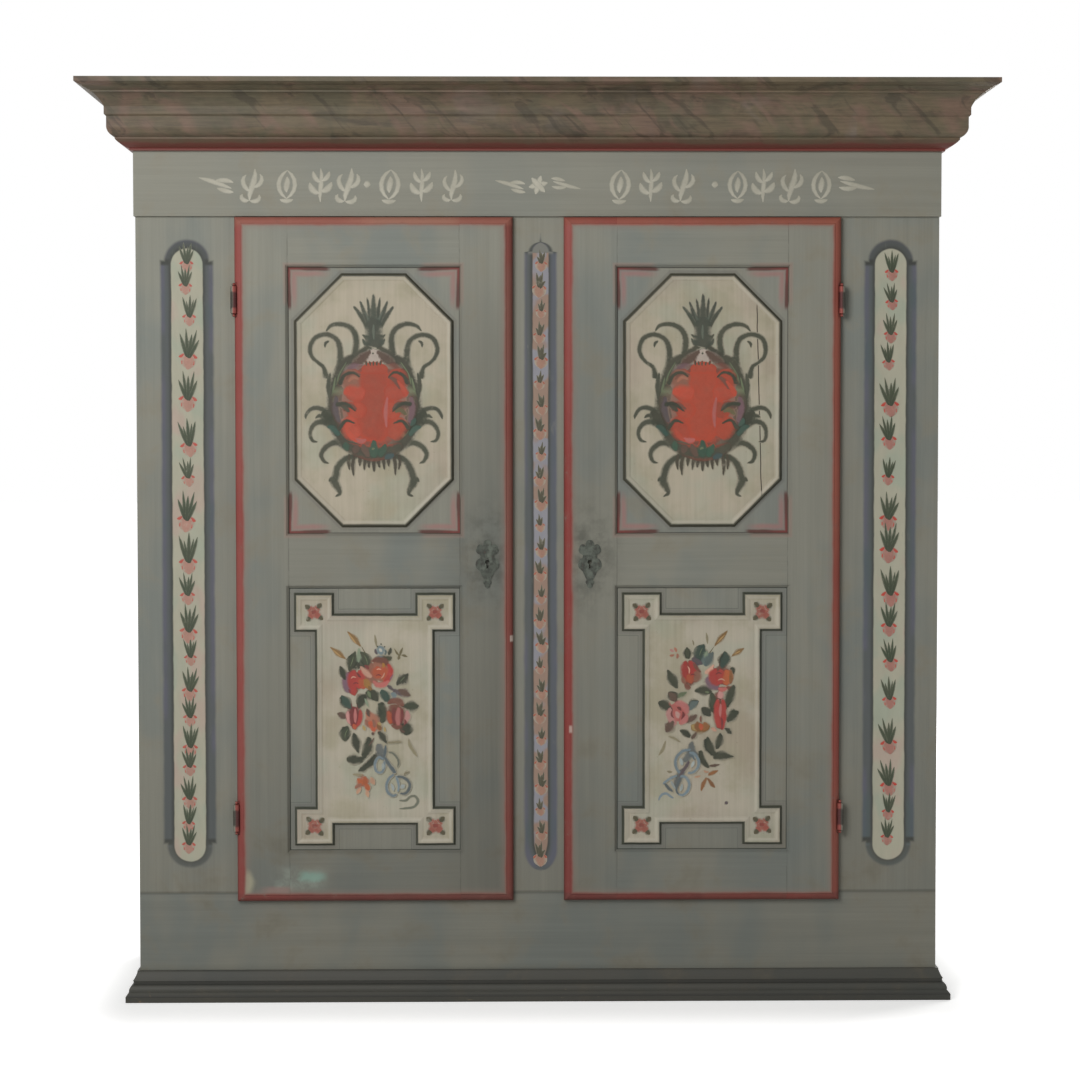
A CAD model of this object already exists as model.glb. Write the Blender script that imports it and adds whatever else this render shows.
"""Painted kas cupboard, dressed: old oil paint, painted ornament, marbled crown, ironwork and nails."""

import logging
import math
import random
from dataclasses import dataclass, field
from enum import Enum
from typing import NamedTuple, TypeAlias

import bmesh
import bpy
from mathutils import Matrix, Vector


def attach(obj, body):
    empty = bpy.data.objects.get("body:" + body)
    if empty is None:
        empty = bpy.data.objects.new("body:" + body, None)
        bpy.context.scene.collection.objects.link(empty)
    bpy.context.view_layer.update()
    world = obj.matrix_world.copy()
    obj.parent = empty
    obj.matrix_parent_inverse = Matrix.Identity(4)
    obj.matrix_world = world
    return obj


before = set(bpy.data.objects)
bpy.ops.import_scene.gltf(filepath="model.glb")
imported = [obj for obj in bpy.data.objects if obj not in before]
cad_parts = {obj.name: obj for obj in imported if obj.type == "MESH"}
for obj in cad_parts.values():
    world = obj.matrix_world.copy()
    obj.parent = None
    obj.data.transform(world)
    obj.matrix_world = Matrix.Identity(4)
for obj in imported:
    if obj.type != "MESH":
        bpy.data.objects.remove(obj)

LOG = logging.getLogger("kas")
MM = 0.001

Point: TypeAlias = tuple[float, float]
Place: TypeAlias = tuple[float, float, float]
Outline: TypeAlias = tuple[Point, ...]
Widths: TypeAlias = tuple[float, ...]


class Colour(NamedTuple):
    """A colour as a paint card names it: red, green and blue from 0 to 255."""

    red: float
    green: float
    blue: float

    def linear(self) -> tuple[float, float, float, float]:
        """The same colour in the numbers that a shader works in."""
        parts = [channel / 255.0 for channel in self]
        made = [p / 12.92 if p <= 0.04045 else ((p + 0.055) / 1.055) ** 2.4 for p in parts]
        return (made[0], made[1], made[2], 1.0)

    def scaled(self, factor: float) -> "Colour":
        """The colour made darker or lighter by a factor on its card numbers."""
        return Colour(*(min(255.0, channel * factor) for channel in self))


class Axis(Enum):
    """The way the grain of a board runs."""

    X = 0
    Y = 1
    Z = 2

    def stretch(self, across: float, along: float) -> Place:
        """Scales for a pattern that is long along the grain, in marks to the metre across it and along it."""
        return tuple(along if index == self.value else across for index in range(3))


class Hand(Enum):
    """The left or the right of the cupboard, as it is faced."""

    LEFT = -1
    RIGHT = 1

    @property
    def door(self) -> str:
        """The body of this hand's door, and the word that begins the names of its nodes."""
        return f"{self.name.lower()}_door"


@dataclass(frozen=True)
class Opening:
    """A panel's opening in a door, in millimetres: its middle across and up, and half of its size."""

    across: float
    up: float
    half_width: float
    half_height: float

    def away(self, graph: "Graph") -> tuple["Signal", "Signal"]:
        """How far each point of either door lies aside of the opening's middle, and above or below it."""
        return (graph.x.size() - self.across).size(), (graph.z - self.up).size()

    def outside(self, graph: "Graph") -> tuple["Signal", "Signal"]:
        """How far each point of either door lies past the opening's sides, and past its top or bottom."""
        aside, rise = self.away(graph)
        return aside - self.half_width, rise - self.half_height


UPPER = Opening(333.0, 1225.5, 173.5, 269.0)
LOWER = Opening(333.0, 577.75, 173.5, 267.75)


# ---------------------------------------------------------------- node writing


class Signal:
    """A number that varies over a surface, joined to others with ordinary arithmetic."""

    def __init__(self, graph: "Graph", socket: bpy.types.NodeSocket) -> None:
        """Keeps the graph and the socket that gives the number."""
        self.graph = graph
        self.socket = socket

    def __add__(self, other: "Signal | float") -> "Signal":
        """Sum."""
        return self.graph.math("ADD", self, other)

    __radd__ = __add__

    def __sub__(self, other: "Signal | float") -> "Signal":
        """Difference."""
        return self.graph.math("SUBTRACT", self, other)

    def __rsub__(self, other: float) -> "Signal":
        """Difference from a plain number."""
        return self.graph.math("SUBTRACT", other, self)

    def __mul__(self, other: "Signal | float") -> "Signal":
        """Product."""
        return self.graph.math("MULTIPLY", self, other)

    __rmul__ = __mul__

    def __neg__(self) -> "Signal":
        """The number with its sign turned."""
        return self * -1.0

    def size(self) -> "Signal":
        """The number without its sign."""
        return self.graph.math("ABSOLUTE", self)

    def root(self) -> "Signal":
        """The square root."""
        return self.graph.math("SQRT", self)

    def most(self, other: "Signal | float") -> "Signal":
        """The larger of two."""
        return self.graph.math("MAXIMUM", self, other)

    def least(self, other: "Signal | float") -> "Signal":
        """The smaller of two."""
        return self.graph.math("MINIMUM", self, other)

    def ramp(self, start: float, end: float, low: float = 0.0, high: float = 1.0) -> "Signal":
        """Turns smoothly from one value to another.

        Args:
            start: where the turn starts; it may be above end.
            end: where the turn is done.
            low: the value at start.
            high: the value at end.

        Returns:
            The turned number.
        """
        if start > end:
            start, end, low, high = end, start, high, low
        inputs = {"Value": self, "From Min": start, "From Max": end, "To Min": low, "To Max": high}
        node = self.graph.node("ShaderNodeMapRange", inputs, interpolation_type="SMOOTHSTEP")
        return Signal(self.graph, node.outputs["Result"])

    def band(self, low: float, high: float, soft: float) -> "Signal":
        """One inside a range of the number and nothing outside it, with soft edges."""
        return self.ramp(low - soft, low + soft) * self.ramp(high + soft, high - soft)


Amount: TypeAlias = Signal | float


class Tint:
    """A colour that varies over a surface."""

    def __init__(self, graph: "Graph", socket: bpy.types.NodeSocket) -> None:
        """Keeps the graph and the socket that gives the colour."""
        self.graph = graph
        self.socket = socket

    def under(self, other: "Tint | Colour", amount: Amount) -> "Tint":
        """This colour with another laid over it by an amount."""
        return self.graph.mix(self, other, amount)

    def shaded(self, amount: Amount) -> "Tint":
        """The colour with its light multiplied by a number."""
        node = self.graph.node("ShaderNodeVectorMath", {0: self, "Scale": amount}, operation="SCALE")
        return Tint(self.graph, node.outputs["Vector"])


class Nodes:
    """Writes nodes into a tree."""

    def __init__(self, tree: bpy.types.NodeTree) -> None:
        """Empties the tree and keeps it."""
        self.tree = tree
        tree.nodes.clear()

    def node(self, kind: str, inputs: dict[str | int, object] | None = None,
             **settings: object) -> bpy.types.Node:
        """A new node with its settings and inputs."""
        made = self.tree.nodes.new(kind)
        for name, value in settings.items():
            setattr(made, name, value)
        for name, value in (inputs or {}).items():
            self.feed(value, made.inputs[name])
        return made

    def feed(self, value: object, socket: bpy.types.NodeSocket) -> None:
        """Links a number, a colour or another node's socket to a socket, or sets it to a plain value."""
        if isinstance(value, (Signal, Tint)):
            value = value.socket
        if isinstance(value, bpy.types.NodeSocket):
            self.tree.links.new(value, socket)
        else:
            socket.default_value = value.linear() if isinstance(value, Colour) else value

    def seen(self) -> bpy.types.NodeSocket:
        """One for what the camera, a mirror or a glass sees straight, nothing for what only lights."""
        rays = self.node("ShaderNodeLightPath").outputs
        shown = rays["Is Camera Ray"]
        for ray in ("Is Glossy Ray", "Is Transmission Ray"):
            shown = self.node("ShaderNodeMath", {0: shown, 1: rays[ray]}, operation="MAXIMUM").outputs[0]
        return shown


class Graph(Nodes):
    """One material's node tree, with the few steps that paint and wood need."""

    def __init__(self, name: str, metallic: float = 0.0, roughness: float = 0.6,
                 specular: float = 0.25) -> None:
        """Starts a material.

        Args:
            name: the material's name.
            metallic: 0 for paint and wood, up to 1 for bare metal.
            roughness: how dull the surface is.
            specular: how strongly it reflects face on.
        """
        self.material = bpy.data.materials.new(name)
        self.material.use_nodes = True
        super().__init__(self.material.node_tree)
        look = {"Metallic": metallic, "Roughness": roughness, "Specular IOR Level": specular}
        self.shader = self.node("ShaderNodeBsdfPrincipled", look)
        self.node("ShaderNodeOutputMaterial", {"Surface": self.shader.outputs["BSDF"]})
        self.place = self.node("ShaderNodeTexCoord").outputs["Object"]
        self.x, self.y, self.z = (number * 1000.0 for number in self.split(self.place))

    def math(self, operation: str, first: Amount, second: Amount = 0.0) -> Signal:
        """One step of arithmetic."""
        node = self.node("ShaderNodeMath", {0: first, 1: second}, operation=operation)
        return Signal(self, node.outputs[0])

    def mix(self, first: Tint | Colour, second: Tint | Colour, amount: Amount) -> Tint:
        """Two colours mixed by an amount."""
        node = self.node("ShaderNodeMix", {0: amount, 6: first, 7: second}, data_type="RGBA")
        return Tint(self, node.outputs[2])

    def split(self, vector: bpy.types.NodeSocket) -> tuple[Signal, Signal, Signal]:
        """The three numbers of a vector."""
        node = self.node("ShaderNodeSeparateXYZ", {"Vector": vector})
        return tuple(Signal(self, node.outputs[name]) for name in "XYZ")

    def stretched(self, scale: Place | float, shift: float) -> bpy.types.NodeSocket:
        """The place on the piece, scaled alike or along each axis, and moved on by shift."""
        each = scale if isinstance(scale, tuple) else (scale, scale, scale)
        moved = (shift * 3.1, shift * 7.7, shift * 5.3)
        node = self.node("ShaderNodeMapping", {"Vector": self.place, "Scale": each, "Location": moved})
        return node.outputs["Vector"]

    def pattern(self, place: bpy.types.NodeSocket, detail: float, roughness: float, bend: float) -> Signal:
        """Noise read at a scaled place."""
        inputs = {"Vector": place, "Scale": 1.0, "Detail": detail, "Roughness": roughness, "Distortion": bend}
        return Signal(self, self.node("ShaderNodeTexNoise", inputs).outputs["Fac"])

    def noise(self, scale: Place | float, shift: float = 0.0, detail: float = 3.0, roughness: float = 0.55,
              bend: float = 0.0) -> Signal:
        """A smooth random pattern.

        Args:
            scale: marks to the metre, the same each way or one for each axis.
            shift: another pattern of the same kind.
            detail: how many finer patterns lie in it.
            roughness: how strong the finer ones are.
            bend: how much the pattern is twisted.

        Returns:
            A number about 0.5, mostly from 0.3 to 0.7.
        """
        return self.pattern(self.stretched(scale, shift), detail, roughness, bend)

    def slanted(self, scale: Place, turn: Place, shift: float, detail: float, bend: float) -> Signal:
        """A smooth random pattern turned before it is stretched.

        Args:
            scale: marks to the metre along each turned axis.
            turn: the turn about each axis, in radians.
            shift: another pattern of the same kind.
            detail: how many finer patterns lie in it.
            bend: how much the pattern is twisted.

        Returns:
            A number about 0.5.
        """
        inputs = {"Vector": self.place, "Rotation": turn, "Scale": tuple(1.0 / each for each in scale),
                  "Location": (shift * 2.3, shift * 1.7, shift * 0.9)}
        place = self.node("ShaderNodeMapping", inputs, vector_type="TEXTURE").outputs["Vector"]
        return self.pattern(place, detail, 0.6, bend)

    def knots(self, scale: Place, shift: float) -> Signal:
        """The distance to the nearest of many scattered points."""
        inputs = {"Vector": self.stretched(scale, shift), "Scale": 1.0}
        return Signal(self, self.node("ShaderNodeTexVoronoi", inputs, feature="F1").outputs["Distance"])

    def facing(self) -> tuple[Signal, Signal, Signal]:
        """The direction that the surface faces on the unmoved piece, as three numbers."""
        return self.split(self.node("ShaderNodeTexCoord").outputs["Normal"])

    def attribute(self, name: str) -> bpy.types.Node:
        """The node that reads a piece's own attribute."""
        return self.node("ShaderNodeAttribute", attribute_type="GEOMETRY", attribute_name=name)

    def finish(self, colour: Tint, relief: Amount, strength: float = 0.6) -> bpy.types.Material:
        """Joins the colour and the relief to the shader.

        Args:
            colour: the surface's colour.
            relief: its height in millimetres.
            strength: how strongly the relief shows.

        Returns:
            The finished material.
        """
        self.feed(colour, self.shader.inputs["Base Color"])
        bump = self.node("ShaderNodeBump", {"Strength": strength, "Distance": MM, "Height": relief})
        self.feed(bump.outputs["Normal"], self.shader.inputs["Normal"])
        return self.material


# ---------------------------------------------------------------- finishes


PINE = Colour(150, 118, 84)
OLD_PINE = Colour(132, 108, 82)
GREY_GREEN = Colour(142, 141, 129)


@dataclass(frozen=True)
class BarePine:
    """Unpainted pine that has darkened with age, with year rings, knots and dirt."""

    grain: Axis = Axis.Z
    shift: float = 0.0
    tone: Colour = PINE
    dirt: float = 0.5

    def coat(self, graph: Graph) -> tuple[Tint, Signal]:
        """The wood's colour and its relief in millimetres."""
        waver = graph.noise(self.grain.stretch(9.0, 0.9), self.shift, 2.0)
        rings = graph.noise(self.grain.stretch(95.0, 2.2), self.shift + 1.0, 3.0, 0.6, 0.5)
        fibre = graph.noise(self.grain.stretch(700.0, 14.0), self.shift + 2.0, 2.0, 0.6)
        knot = graph.knots(self.grain.stretch(5.5, 2.2), self.shift + 3.0).ramp(0.13, 0.05)
        soil = graph.noise(4.0, self.shift + 4.0, 4.0, 0.65)
        colour = graph.mix(self.tone, self.tone.scaled(0.72), (rings + waver * 0.6 - 0.3).ramp(0.38, 0.68))
        colour = colour.under(self.tone.scaled(1.14), fibre.ramp(0.52, 0.72) * 0.5)
        colour = colour.under(Colour(74, 50, 34), knot * 0.8)
        colour = colour.under(Colour(82, 72, 60), soil.ramp(0.42, 0.72) * self.dirt)
        return colour, rings * 0.25 + fibre * 0.12 - knot * 0.2

    def behind(self, graph: Graph, colour: Tint, relief: Signal, painted: Signal) -> bpy.types.Material:
        """The finish of a board that is painted where painted is one, and is this bare wood elsewhere."""
        wood, wood_relief = self.coat(graph)
        return graph.finish(graph.mix(wood, colour, painted), wood_relief + (relief - wood_relief) * painted)

    def material(self) -> bpy.types.Material:
        """The finish as a material."""
        graph = Graph(f"bare_pine_{self.grain.name}_{self.shift:g}", roughness=0.72, specular=0.2)
        return graph.finish(*self.coat(graph), 0.5)


@dataclass(frozen=True)
class BoardPaint:
    """Thin oil paint on a planed board: brush marks along the grain, faded blotches, grime and chips.

    Boards that are given the same cloud share their blotches; at 0 each board has its own.
    """

    grain: Axis = Axis.Z
    shift: float = 0.0
    tone: Colour = GREY_GREEN
    cool: Colour = Colour(122, 128, 123)
    warm: Colour = Colour(145, 138, 120)
    wear: float = 1.0
    cloud: float = 0.0
    patchy: float = 1.0

    def coat(self, graph: Graph) -> tuple[Tint, Signal]:
        """The paint's colour and its relief in millimetres."""
        blotch = graph.noise((4.0, 4.0, 2.2), self.cloud or self.shift, 3.0, 0.6, 0.4)
        stain = graph.noise(11.0, self.cloud or self.shift + 1.0, 4.0, 0.6, 0.3)
        brush = graph.noise(self.grain.stretch(260.0, 4.0), self.shift + 2.0, 3.0, 0.65)
        grain = graph.noise(self.grain.stretch(60.0, 1.6), self.shift + 3.0, 2.0, 0.5)
        speck = graph.noise(420.0, self.shift + 4.0, 2.0, 0.7)
        colour = graph.mix(self.tone, self.cool, blotch.ramp(0.42, 0.66) * 0.75 * self.patchy)
        colour = colour.under(self.warm, stain.ramp(0.5, 0.7) * 0.45)
        light = 0.74 + brush * 0.2 + grain * 0.2 + blotch * 0.12 * self.patchy + 0.06 * (1.0 - self.patchy)
        colour = colour.shaded(light)
        low = graph.z.ramp(900.0, 40.0)
        soot = graph.z.ramp(1380.0, 1740.0)
        colour = colour.shaded(1.0 - low * 0.16 - graph.z.ramp(1560.0, 1000.0) * 0.09 - soot * 0.02)
        colour = colour.under(Colour(92, 90, 78), stain.ramp(0.56, 0.78) * (0.12 + low * 0.22))
        chip = graph.noise(70.0, self.shift + 6.0, 5.0, 0.75).ramp(0.73, 0.77) * self.wear
        colour = colour.under(Colour(120, 104, 82), chip * 0.8)
        colour = colour.under(Colour(58, 56, 50), speck.ramp(0.7, 0.8) * 0.35)
        return colour, brush * 0.12 + grain * 0.3 - chip * 0.15


class Strip(Enum):
    """The long painted strip that a front board carries."""

    NONE = 0
    SIDE = 1
    CENTRE = 2


@dataclass(frozen=True)
class StripPaint:
    """A cream strip with a shaded slate band round it, painted down a front board."""

    kind: Strip
    shoulder: float = 915.5
    half_tall: float = 593.5
    cream_middle: float = 909.0
    cream_half: float = 592.0
    cream: Colour = Colour(172, 169, 150)
    slate: Colour = Colour(89, 93, 93)
    line: Colour = Colour(64, 66, 62)
    lilac: Colour = Colour(99, 99, 112)

    def side_shapes(self, graph: Graph) -> tuple[Signal, Signal, Signal]:
        """The same as shapes, for a strip with round ends on a corner stile."""
        off_middle, stile, band_middle = 2.5, 714.0, 912.0
        cream_round, band_round, band_half = 32.0, 46.5, 53.8
        side = ((graph.x - off_middle).size() - stile).size()
        rise = ((graph.z - self.cream_middle).size() - self.cream_half).most(0.0)
        cream = (side * side + rise * rise).root() - cream_round
        reach = ((graph.z - band_middle).size() - self.half_tall).most(0.0)
        round_end = (side * side + reach * reach).root() - band_round
        straight = (side - band_half).most((graph.z - self.shoulder).size() - self.half_tall)
        return cream, round_end.least(straight), side

    def centre_shapes(self, graph: Graph) -> tuple[Signal, Signal, Signal]:
        """The same as shapes, for the narrow strip with an ogee head on the centre post."""
        middle, end = 913.5, 46.0
        side = (graph.x - 4.6).size()
        tall = (graph.z - middle).size()
        narrow = graph.z.ramp(1500.0, 900.0) * 2.2
        foot = (graph.z - 330.0).least(0.0) * (1.0 / end)
        taper = foot * foot * 13.0
        cream = (side - 16.4 + narrow + taper).most((graph.z - 903.5).size() - 621.5)
        up = (graph.z - 900.0).ramp(-10.0, 10.0)
        point = (((graph.z - middle) - 612.0) * (1.0 / 37.0)).most(0.0).least(1.0)
        bent = (point * 1.75).least(1.0)
        ogee = ((1.0 - bent * bent).root() * 25.0).most((1.0 - point) * 11.0 - 1.0)
        ogee = ogee.most(graph.z.ramp(1530.0, 1526.0) * 33.4)
        low = ((310.5 - graph.z) * (1.0 / end)).most(0.0).least(1.0)
        drop = (1.0 - low * low).most(0.0).root() * 34.0
        head = (side - (ogee * up + drop * (1.0 - up))).most(tall - 649.0)
        return cream, head, side

    def shapes(self, graph: Graph, waver: Signal) -> tuple[Signal, Signal, Signal]:
        """How far each point lies from the cream, from the band, and from the middle line.

        Args:
            graph: the material being made.
            waver: a small random number that makes the hand-drawn edges uneven.

        Returns:
            The distance to the cream, the distance to the band, and the distance sideways, in millimetres.
        """
        cream, band, side = self.side_shapes(graph) if self.kind is Strip.SIDE else self.centre_shapes(graph)
        return cream + waver, band + waver, side

    def band(self, graph: Graph, cream_gap: Signal, band_gap: Signal, drift: Signal) -> Tint:
        """The slate band's colour, darker along the cream and past its ends."""
        band = graph.mix(self.line, self.slate, cream_gap.ramp(0.5, 9.0))
        band = band.under(self.lilac, cream_gap.ramp(8.0, 17.0) * drift.ramp(0.42, 0.52) * 0.8)
        band = band.under(Colour(80, 94, 94), drift.ramp(0.56, 0.68) * cream_gap.ramp(2.0, 10.0) * 0.6)
        if self.kind is Strip.SIDE:
            band = band.shaded(1.0 - graph.x.ramp(-500.0, -700.0) * 0.12)
            past_end = (graph.z - self.cream_middle).size().ramp(self.cream_half, self.cream_half + 6.0)
            return band.under(self.line, past_end * 0.5)
        head = graph.z.ramp(1518.0, 1528.0)
        band = band.under(Colour(124, 124, 117), head * band_gap.ramp(-6.0, -10.0))
        band = band.under(Colour(72, 74, 70), head * band_gap.band(-6.5, 0.5, 3.0))
        return band.under(Colour(92, 97, 110), graph.x.ramp(20.0, 30.0) * (1.0 - head) * 0.5)

    def over(self, graph: Graph, ground: Tint, shift: float) -> Tint:
        """The strip laid over the board's own paint."""
        waver = (graph.noise(24.0, shift + 11.0, 2.0) - 0.5) * 3.2
        cream_gap, band_gap, side = self.shapes(graph, waver)
        worn = graph.noise(Axis.Z.stretch(60.0, 14.0), shift + 12.0, 4.0, 0.7)
        band = self.band(graph, cream_gap, band_gap, graph.noise((2.0, 2.0, 5.0), shift + 13.0, 2.0))
        inside = band_gap.ramp(3.0, -4.5) * (0.96 - worn.ramp(0.6, 0.75) * 0.25)
        if self.kind is Strip.SIDE:
            shoulder = (graph.z - self.shoulder).size().band(584.0, 596.0, 3.5) * side.ramp(32.0, 38.0)
            band = band.under(self.line.scaled(0.9), shoulder)
            inside = inside * graph.z.ramp(300.0, 340.0, 0.8, 1.0)
        colour = ground.under(band, inside)
        blush = graph.noise(Axis.Z.stretch(16.0, 9.0 if self.kind is Strip.SIDE else 15.0), shift + 14.0, 2.0)
        if self.kind is Strip.SIDE:
            cream = graph.mix(self.cream, Colour(158, 166, 148), blush.ramp(0.52, 0.66) * 0.7)
            cream = cream.under(Colour(182, 158, 146), blush.ramp(0.47, 0.33) * 0.6)
        else:
            cream = graph.mix(Colour(146, 145, 151), Colour(154, 130, 115), blush.ramp(0.45, 0.54))
        cream = cream.shaded((0.91 + worn * 0.24) + graph.x.ramp(600.0, 800.0) * 0.15)
        return colour.under(cream, cream_gap.ramp(1.6, -1.8) * (1.0 - worn.ramp(0.66, 0.76) * 0.3))


# The plane at front of a board that is painted on its side alone: further forward than any board.
NO_FRONT = 500.0


@dataclass(frozen=True)
class CaseBoard:
    """A board of the case: painted where it shows from outside, bare pine elsewhere.

    The paint lies in front of the plane at front, and outside the planes at side, in millimetres.
    """

    grain: Axis = Axis.Z
    shift: float = 0.0
    strip: Strip = Strip.NONE
    front: float = 185.4
    side: float = 814.4
    patchy: float = 1.0
    edge: float = 0.3

    def material(self) -> bpy.types.Material:
        """The finish as a material."""
        graph = Graph(f"case_paint_{self.grain.name}_{self.shift:g}", roughness=0.62, specular=0.25)
        colour, relief = BoardPaint(self.grain, self.shift, patchy=self.patchy).coat(graph)
        if self.strip is not Strip.NONE:
            colour = StripPaint(self.strip).over(graph, colour, self.shift)
        if self.front < NO_FRONT:
            seam = graph.z + (graph.noise(16.0, self.shift + 15.0) - 0.5) * 2.0
            shade = 1.0 - seam.band(217.5, 223.5, 2.0) * 0.32 + seam.band(205.0, 213.0, 3.0) * 0.06
            colour = colour.shaded(shade)
        painted = (-graph.y).ramp(self.front - self.edge, self.front + self.edge)
        painted = painted.most(graph.x.size().ramp(self.side - self.edge, self.side + self.edge))
        return BarePine(self.grain, self.shift + 20.0).behind(graph, colour, relief, painted)


@dataclass(frozen=True)
class EdgeRed:
    """The red that is laid on the rolled edge round a door."""

    inner_side: float = 51.5
    outer_side: float = 614.5
    foot: float = 205.0
    head: float = 1596.5
    rose: Colour = Colour(150, 72, 66)
    crimson: Colour = Colour(140, 52, 48)
    brown: Colour = Colour(126, 76, 66)
    orange: Colour = Colour(158, 86, 68)
    dark: Colour = Colour(96, 50, 46)

    def red(self, graph: Graph, patch: Signal, worn: Signal) -> Tint:
        """The red's own colour, which differs between the doors and between their outer and inner edges."""
        inner = graph.x.size().ramp(340.0, 326.0)
        right = graph.x.ramp(-8.0, 8.0)
        outer = (1.0 - inner) * (1.0 - right)
        outer_tone = graph.mix(self.rose, self.orange, right * 0.8)
        inner_tone = graph.mix(self.brown.scaled(1.06), self.crimson, right)
        colour = graph.mix(outer_tone, inner_tone, inner)
        bright = graph.z.ramp(1080.0, 1560.0) * (inner * right).most(outer * 0.7)
        colour = colour.under(Colour(168, 92, 86), bright)
        top = graph.mix(Colour(174, 120, 100), self.orange, right)
        colour = colour.under(top, graph.z.ramp(1574.0, 1584.0) * 0.8)
        colour = colour.under(self.dark, graph.z.ramp(700.0, 226.0) * 0.35 + graph.z.ramp(226.0, 218.0) * 0.4)
        colour = colour.under(self.crimson, patch * 0.45)
        return colour.under(self.brown, worn.ramp(0.5, 0.74) * 0.55)

    def over(self, graph: Graph, ground: Tint, shift: float) -> Tint:
        """The red edge laid over the door's own paint."""
        aside = graph.x.size()
        waver = (graph.noise(14.0, shift + 11.0, 3.0, 0.6) - 0.5) * 7.0
        upright = (aside - self.inner_side).least(self.outer_side - aside)
        rim = upright.least((graph.z - self.foot).least(self.head - graph.z))
        gap = rim + waver
        worn = graph.noise(34.0, shift + 12.0, 5.0, 0.7)
        colour = self.red(graph, graph.noise(3.5, shift + 13.0, 3.0).ramp(0.44, 0.6), worn)
        colour = colour.shaded(0.76 + worn * 0.27 - rim.ramp(3.5, 0.5) * 0.27)
        colour = colour.under(Colour(124, 110, 100), 0.12)
        colour = colour.under(Colour(142, 110, 98), gap.ramp(12.0, 19.0) * 0.6)
        halo = gap.ramp(32.0, 16.0) * 0.35
        covered = gap.ramp(21.0, 14.5) * (1.0 - worn.ramp(0.64, 0.74) * 0.5)
        return ground.under(Colour(142, 118, 108), halo).under(colour, covered)


@dataclass(frozen=True)
class DoorBoard:
    """A rail or stile of a door: grey-green with a red rolled edge in front, bare pine behind."""

    grain: Axis = Axis.Z
    shift: float = 0.0

    def corner_lines(self, graph: Graph, ground: Tint) -> Tint:
        """The faint reddish light round the corners of the upper opening, on its bevel and beside it."""
        aside, rise = UPPER.outside(graph)
        edge = aside.most(rise)
        leg = aside.least(rise).ramp(-84.0, -66.0)
        colour = ground.under(Colour(156, 134, 122), edge.band(0.5, 9.0, 2.5) * leg * 0.55)
        return colour.under(Colour(74, 66, 56), edge.band(-1.0, 1.6, 0.8) * leg * 0.8)

    def seams(self, graph: Graph) -> Signal:
        """The hair cracks in the paint where a rail meets its stiles."""
        tall = (graph.z - 900.75).size()
        on_rail = tall.ramp(592.0, 594.0).most(tall.ramp(58.0, 54.0))
        on_rail = on_rail.most((graph.z - 901.0).size().ramp(57.0, 55.0))
        broken = graph.noise(30.0, self.shift + 17.0, 3.0).ramp(0.36, 0.5)
        return UPPER.outside(graph)[0].band(-0.9, 0.9, 0.5) * on_rail * broken

    def material(self) -> bpy.types.Material:
        """The finish as a material."""
        graph = Graph(f"door_paint_{self.grain.name}_{self.shift:g}", roughness=0.6, specular=0.25)
        colour, relief = BoardPaint(self.grain, self.shift, cloud=70.0).coat(graph)
        seams = self.seams(graph)
        colour = self.corner_lines(graph, colour.under(Colour(72, 70, 62), seams * 0.35))
        patch = graph.noise(26.0, self.shift + 18.0, 4.0, 0.65)
        colour = self.scrape(graph, self.handled(graph, colour, patch), patch)
        colour = EdgeRed().over(graph, colour, self.shift)
        left_chip = graph.x.band(-58.0, -50.0, 1.5) * graph.z.band(736.0, 748.0, 2.5)
        right_chip = graph.x.band(62.0, 68.0, 1.5) * graph.z.band(550.0, 564.0, 3.0)
        colour = colour.under(Colour(208, 190, 178), left_chip.most(right_chip * 0.6))
        wood = BarePine(self.grain, self.shift + 20.0)
        return wood.behind(graph, colour, relief - seams * 0.4, (-graph.y).ramp(187.0, 187.5))

    def handled(self, graph: Graph, ground: Tint, patch: Signal) -> Tint:
        """The paint darkened round the openings, where hands go, and beside the keyhole."""
        sideways, up = graph.x.size() - 96.0, graph.z - 905.0
        reach = (sideways * sideways + up * up * 0.35).root()
        colour = ground.shaded(1.0 - self.opening(graph).band(-1.0, 7.0, 4.0) * 0.11)
        left = graph.x.ramp(1.0, -1.0)
        near_lock = graph.x.size().ramp(250.0, 70.0) * graph.z.ramp(1560.0, 1300.0)
        colour = colour.shaded(1.0 - near_lock * (left * 0.1 + 0.12))
        colour = colour.shaded(1.0 - left * graph.z.ramp(1500.0, 240.0) * 0.14)
        return colour.under(Colour(74, 74, 66), reach.ramp(95.0, 14.0) * patch.ramp(0.35, 0.7) * 0.7)

    @staticmethod
    def scrape(graph: Graph, ground: Tint, patch: Signal) -> Tint:
        """The scrape where the paint has gone at the foot of the left door."""
        wander = (patch - 0.5) * 26.0
        aside, up = graph.x + wander, graph.z + wander
        along = aside.band(-538.0, -438.0, 18.0) * (graph.z + wander * 0.6).band(232.0, 274.0, 9.0)
        colour = ground.under(Colour(142, 150, 138), along * patch.ramp(0.26, 0.66) * 0.75)
        bright = aside.band(-488.0, -438.0, 12.0) * up.band(248.0, 264.0, 6.0)
        colour = colour.under(Colour(132, 164, 150), bright * 0.7)
        stain = aside.band(-560.0, -506.0, 16.0) * graph.z.band(222.0, 236.0, 5.0)
        colour = colour.under(Colour(156, 124, 116), stain * 0.55)
        corner, low = graph.x + 598.0 + wander * 0.5, graph.z - 243.0
        far = (corner * corner + low * low * 0.45).root()
        return colour.under(Colour(172, 168, 142), far.ramp(24.0, 10.0) * 0.75)

    @staticmethod
    def opening(graph: Graph) -> Signal:
        """How far each point lies outside the nearer panel opening, in millimetres."""
        (aside, rise), (_, low_rise) = UPPER.outside(graph), LOWER.outside(graph)
        return aside.most(rise).least(aside.most(low_rise))


class Mirror(Enum):
    """The shape of the raised middle of a door panel."""

    OCTAGON = "octagon"
    EARED = "eared"


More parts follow.
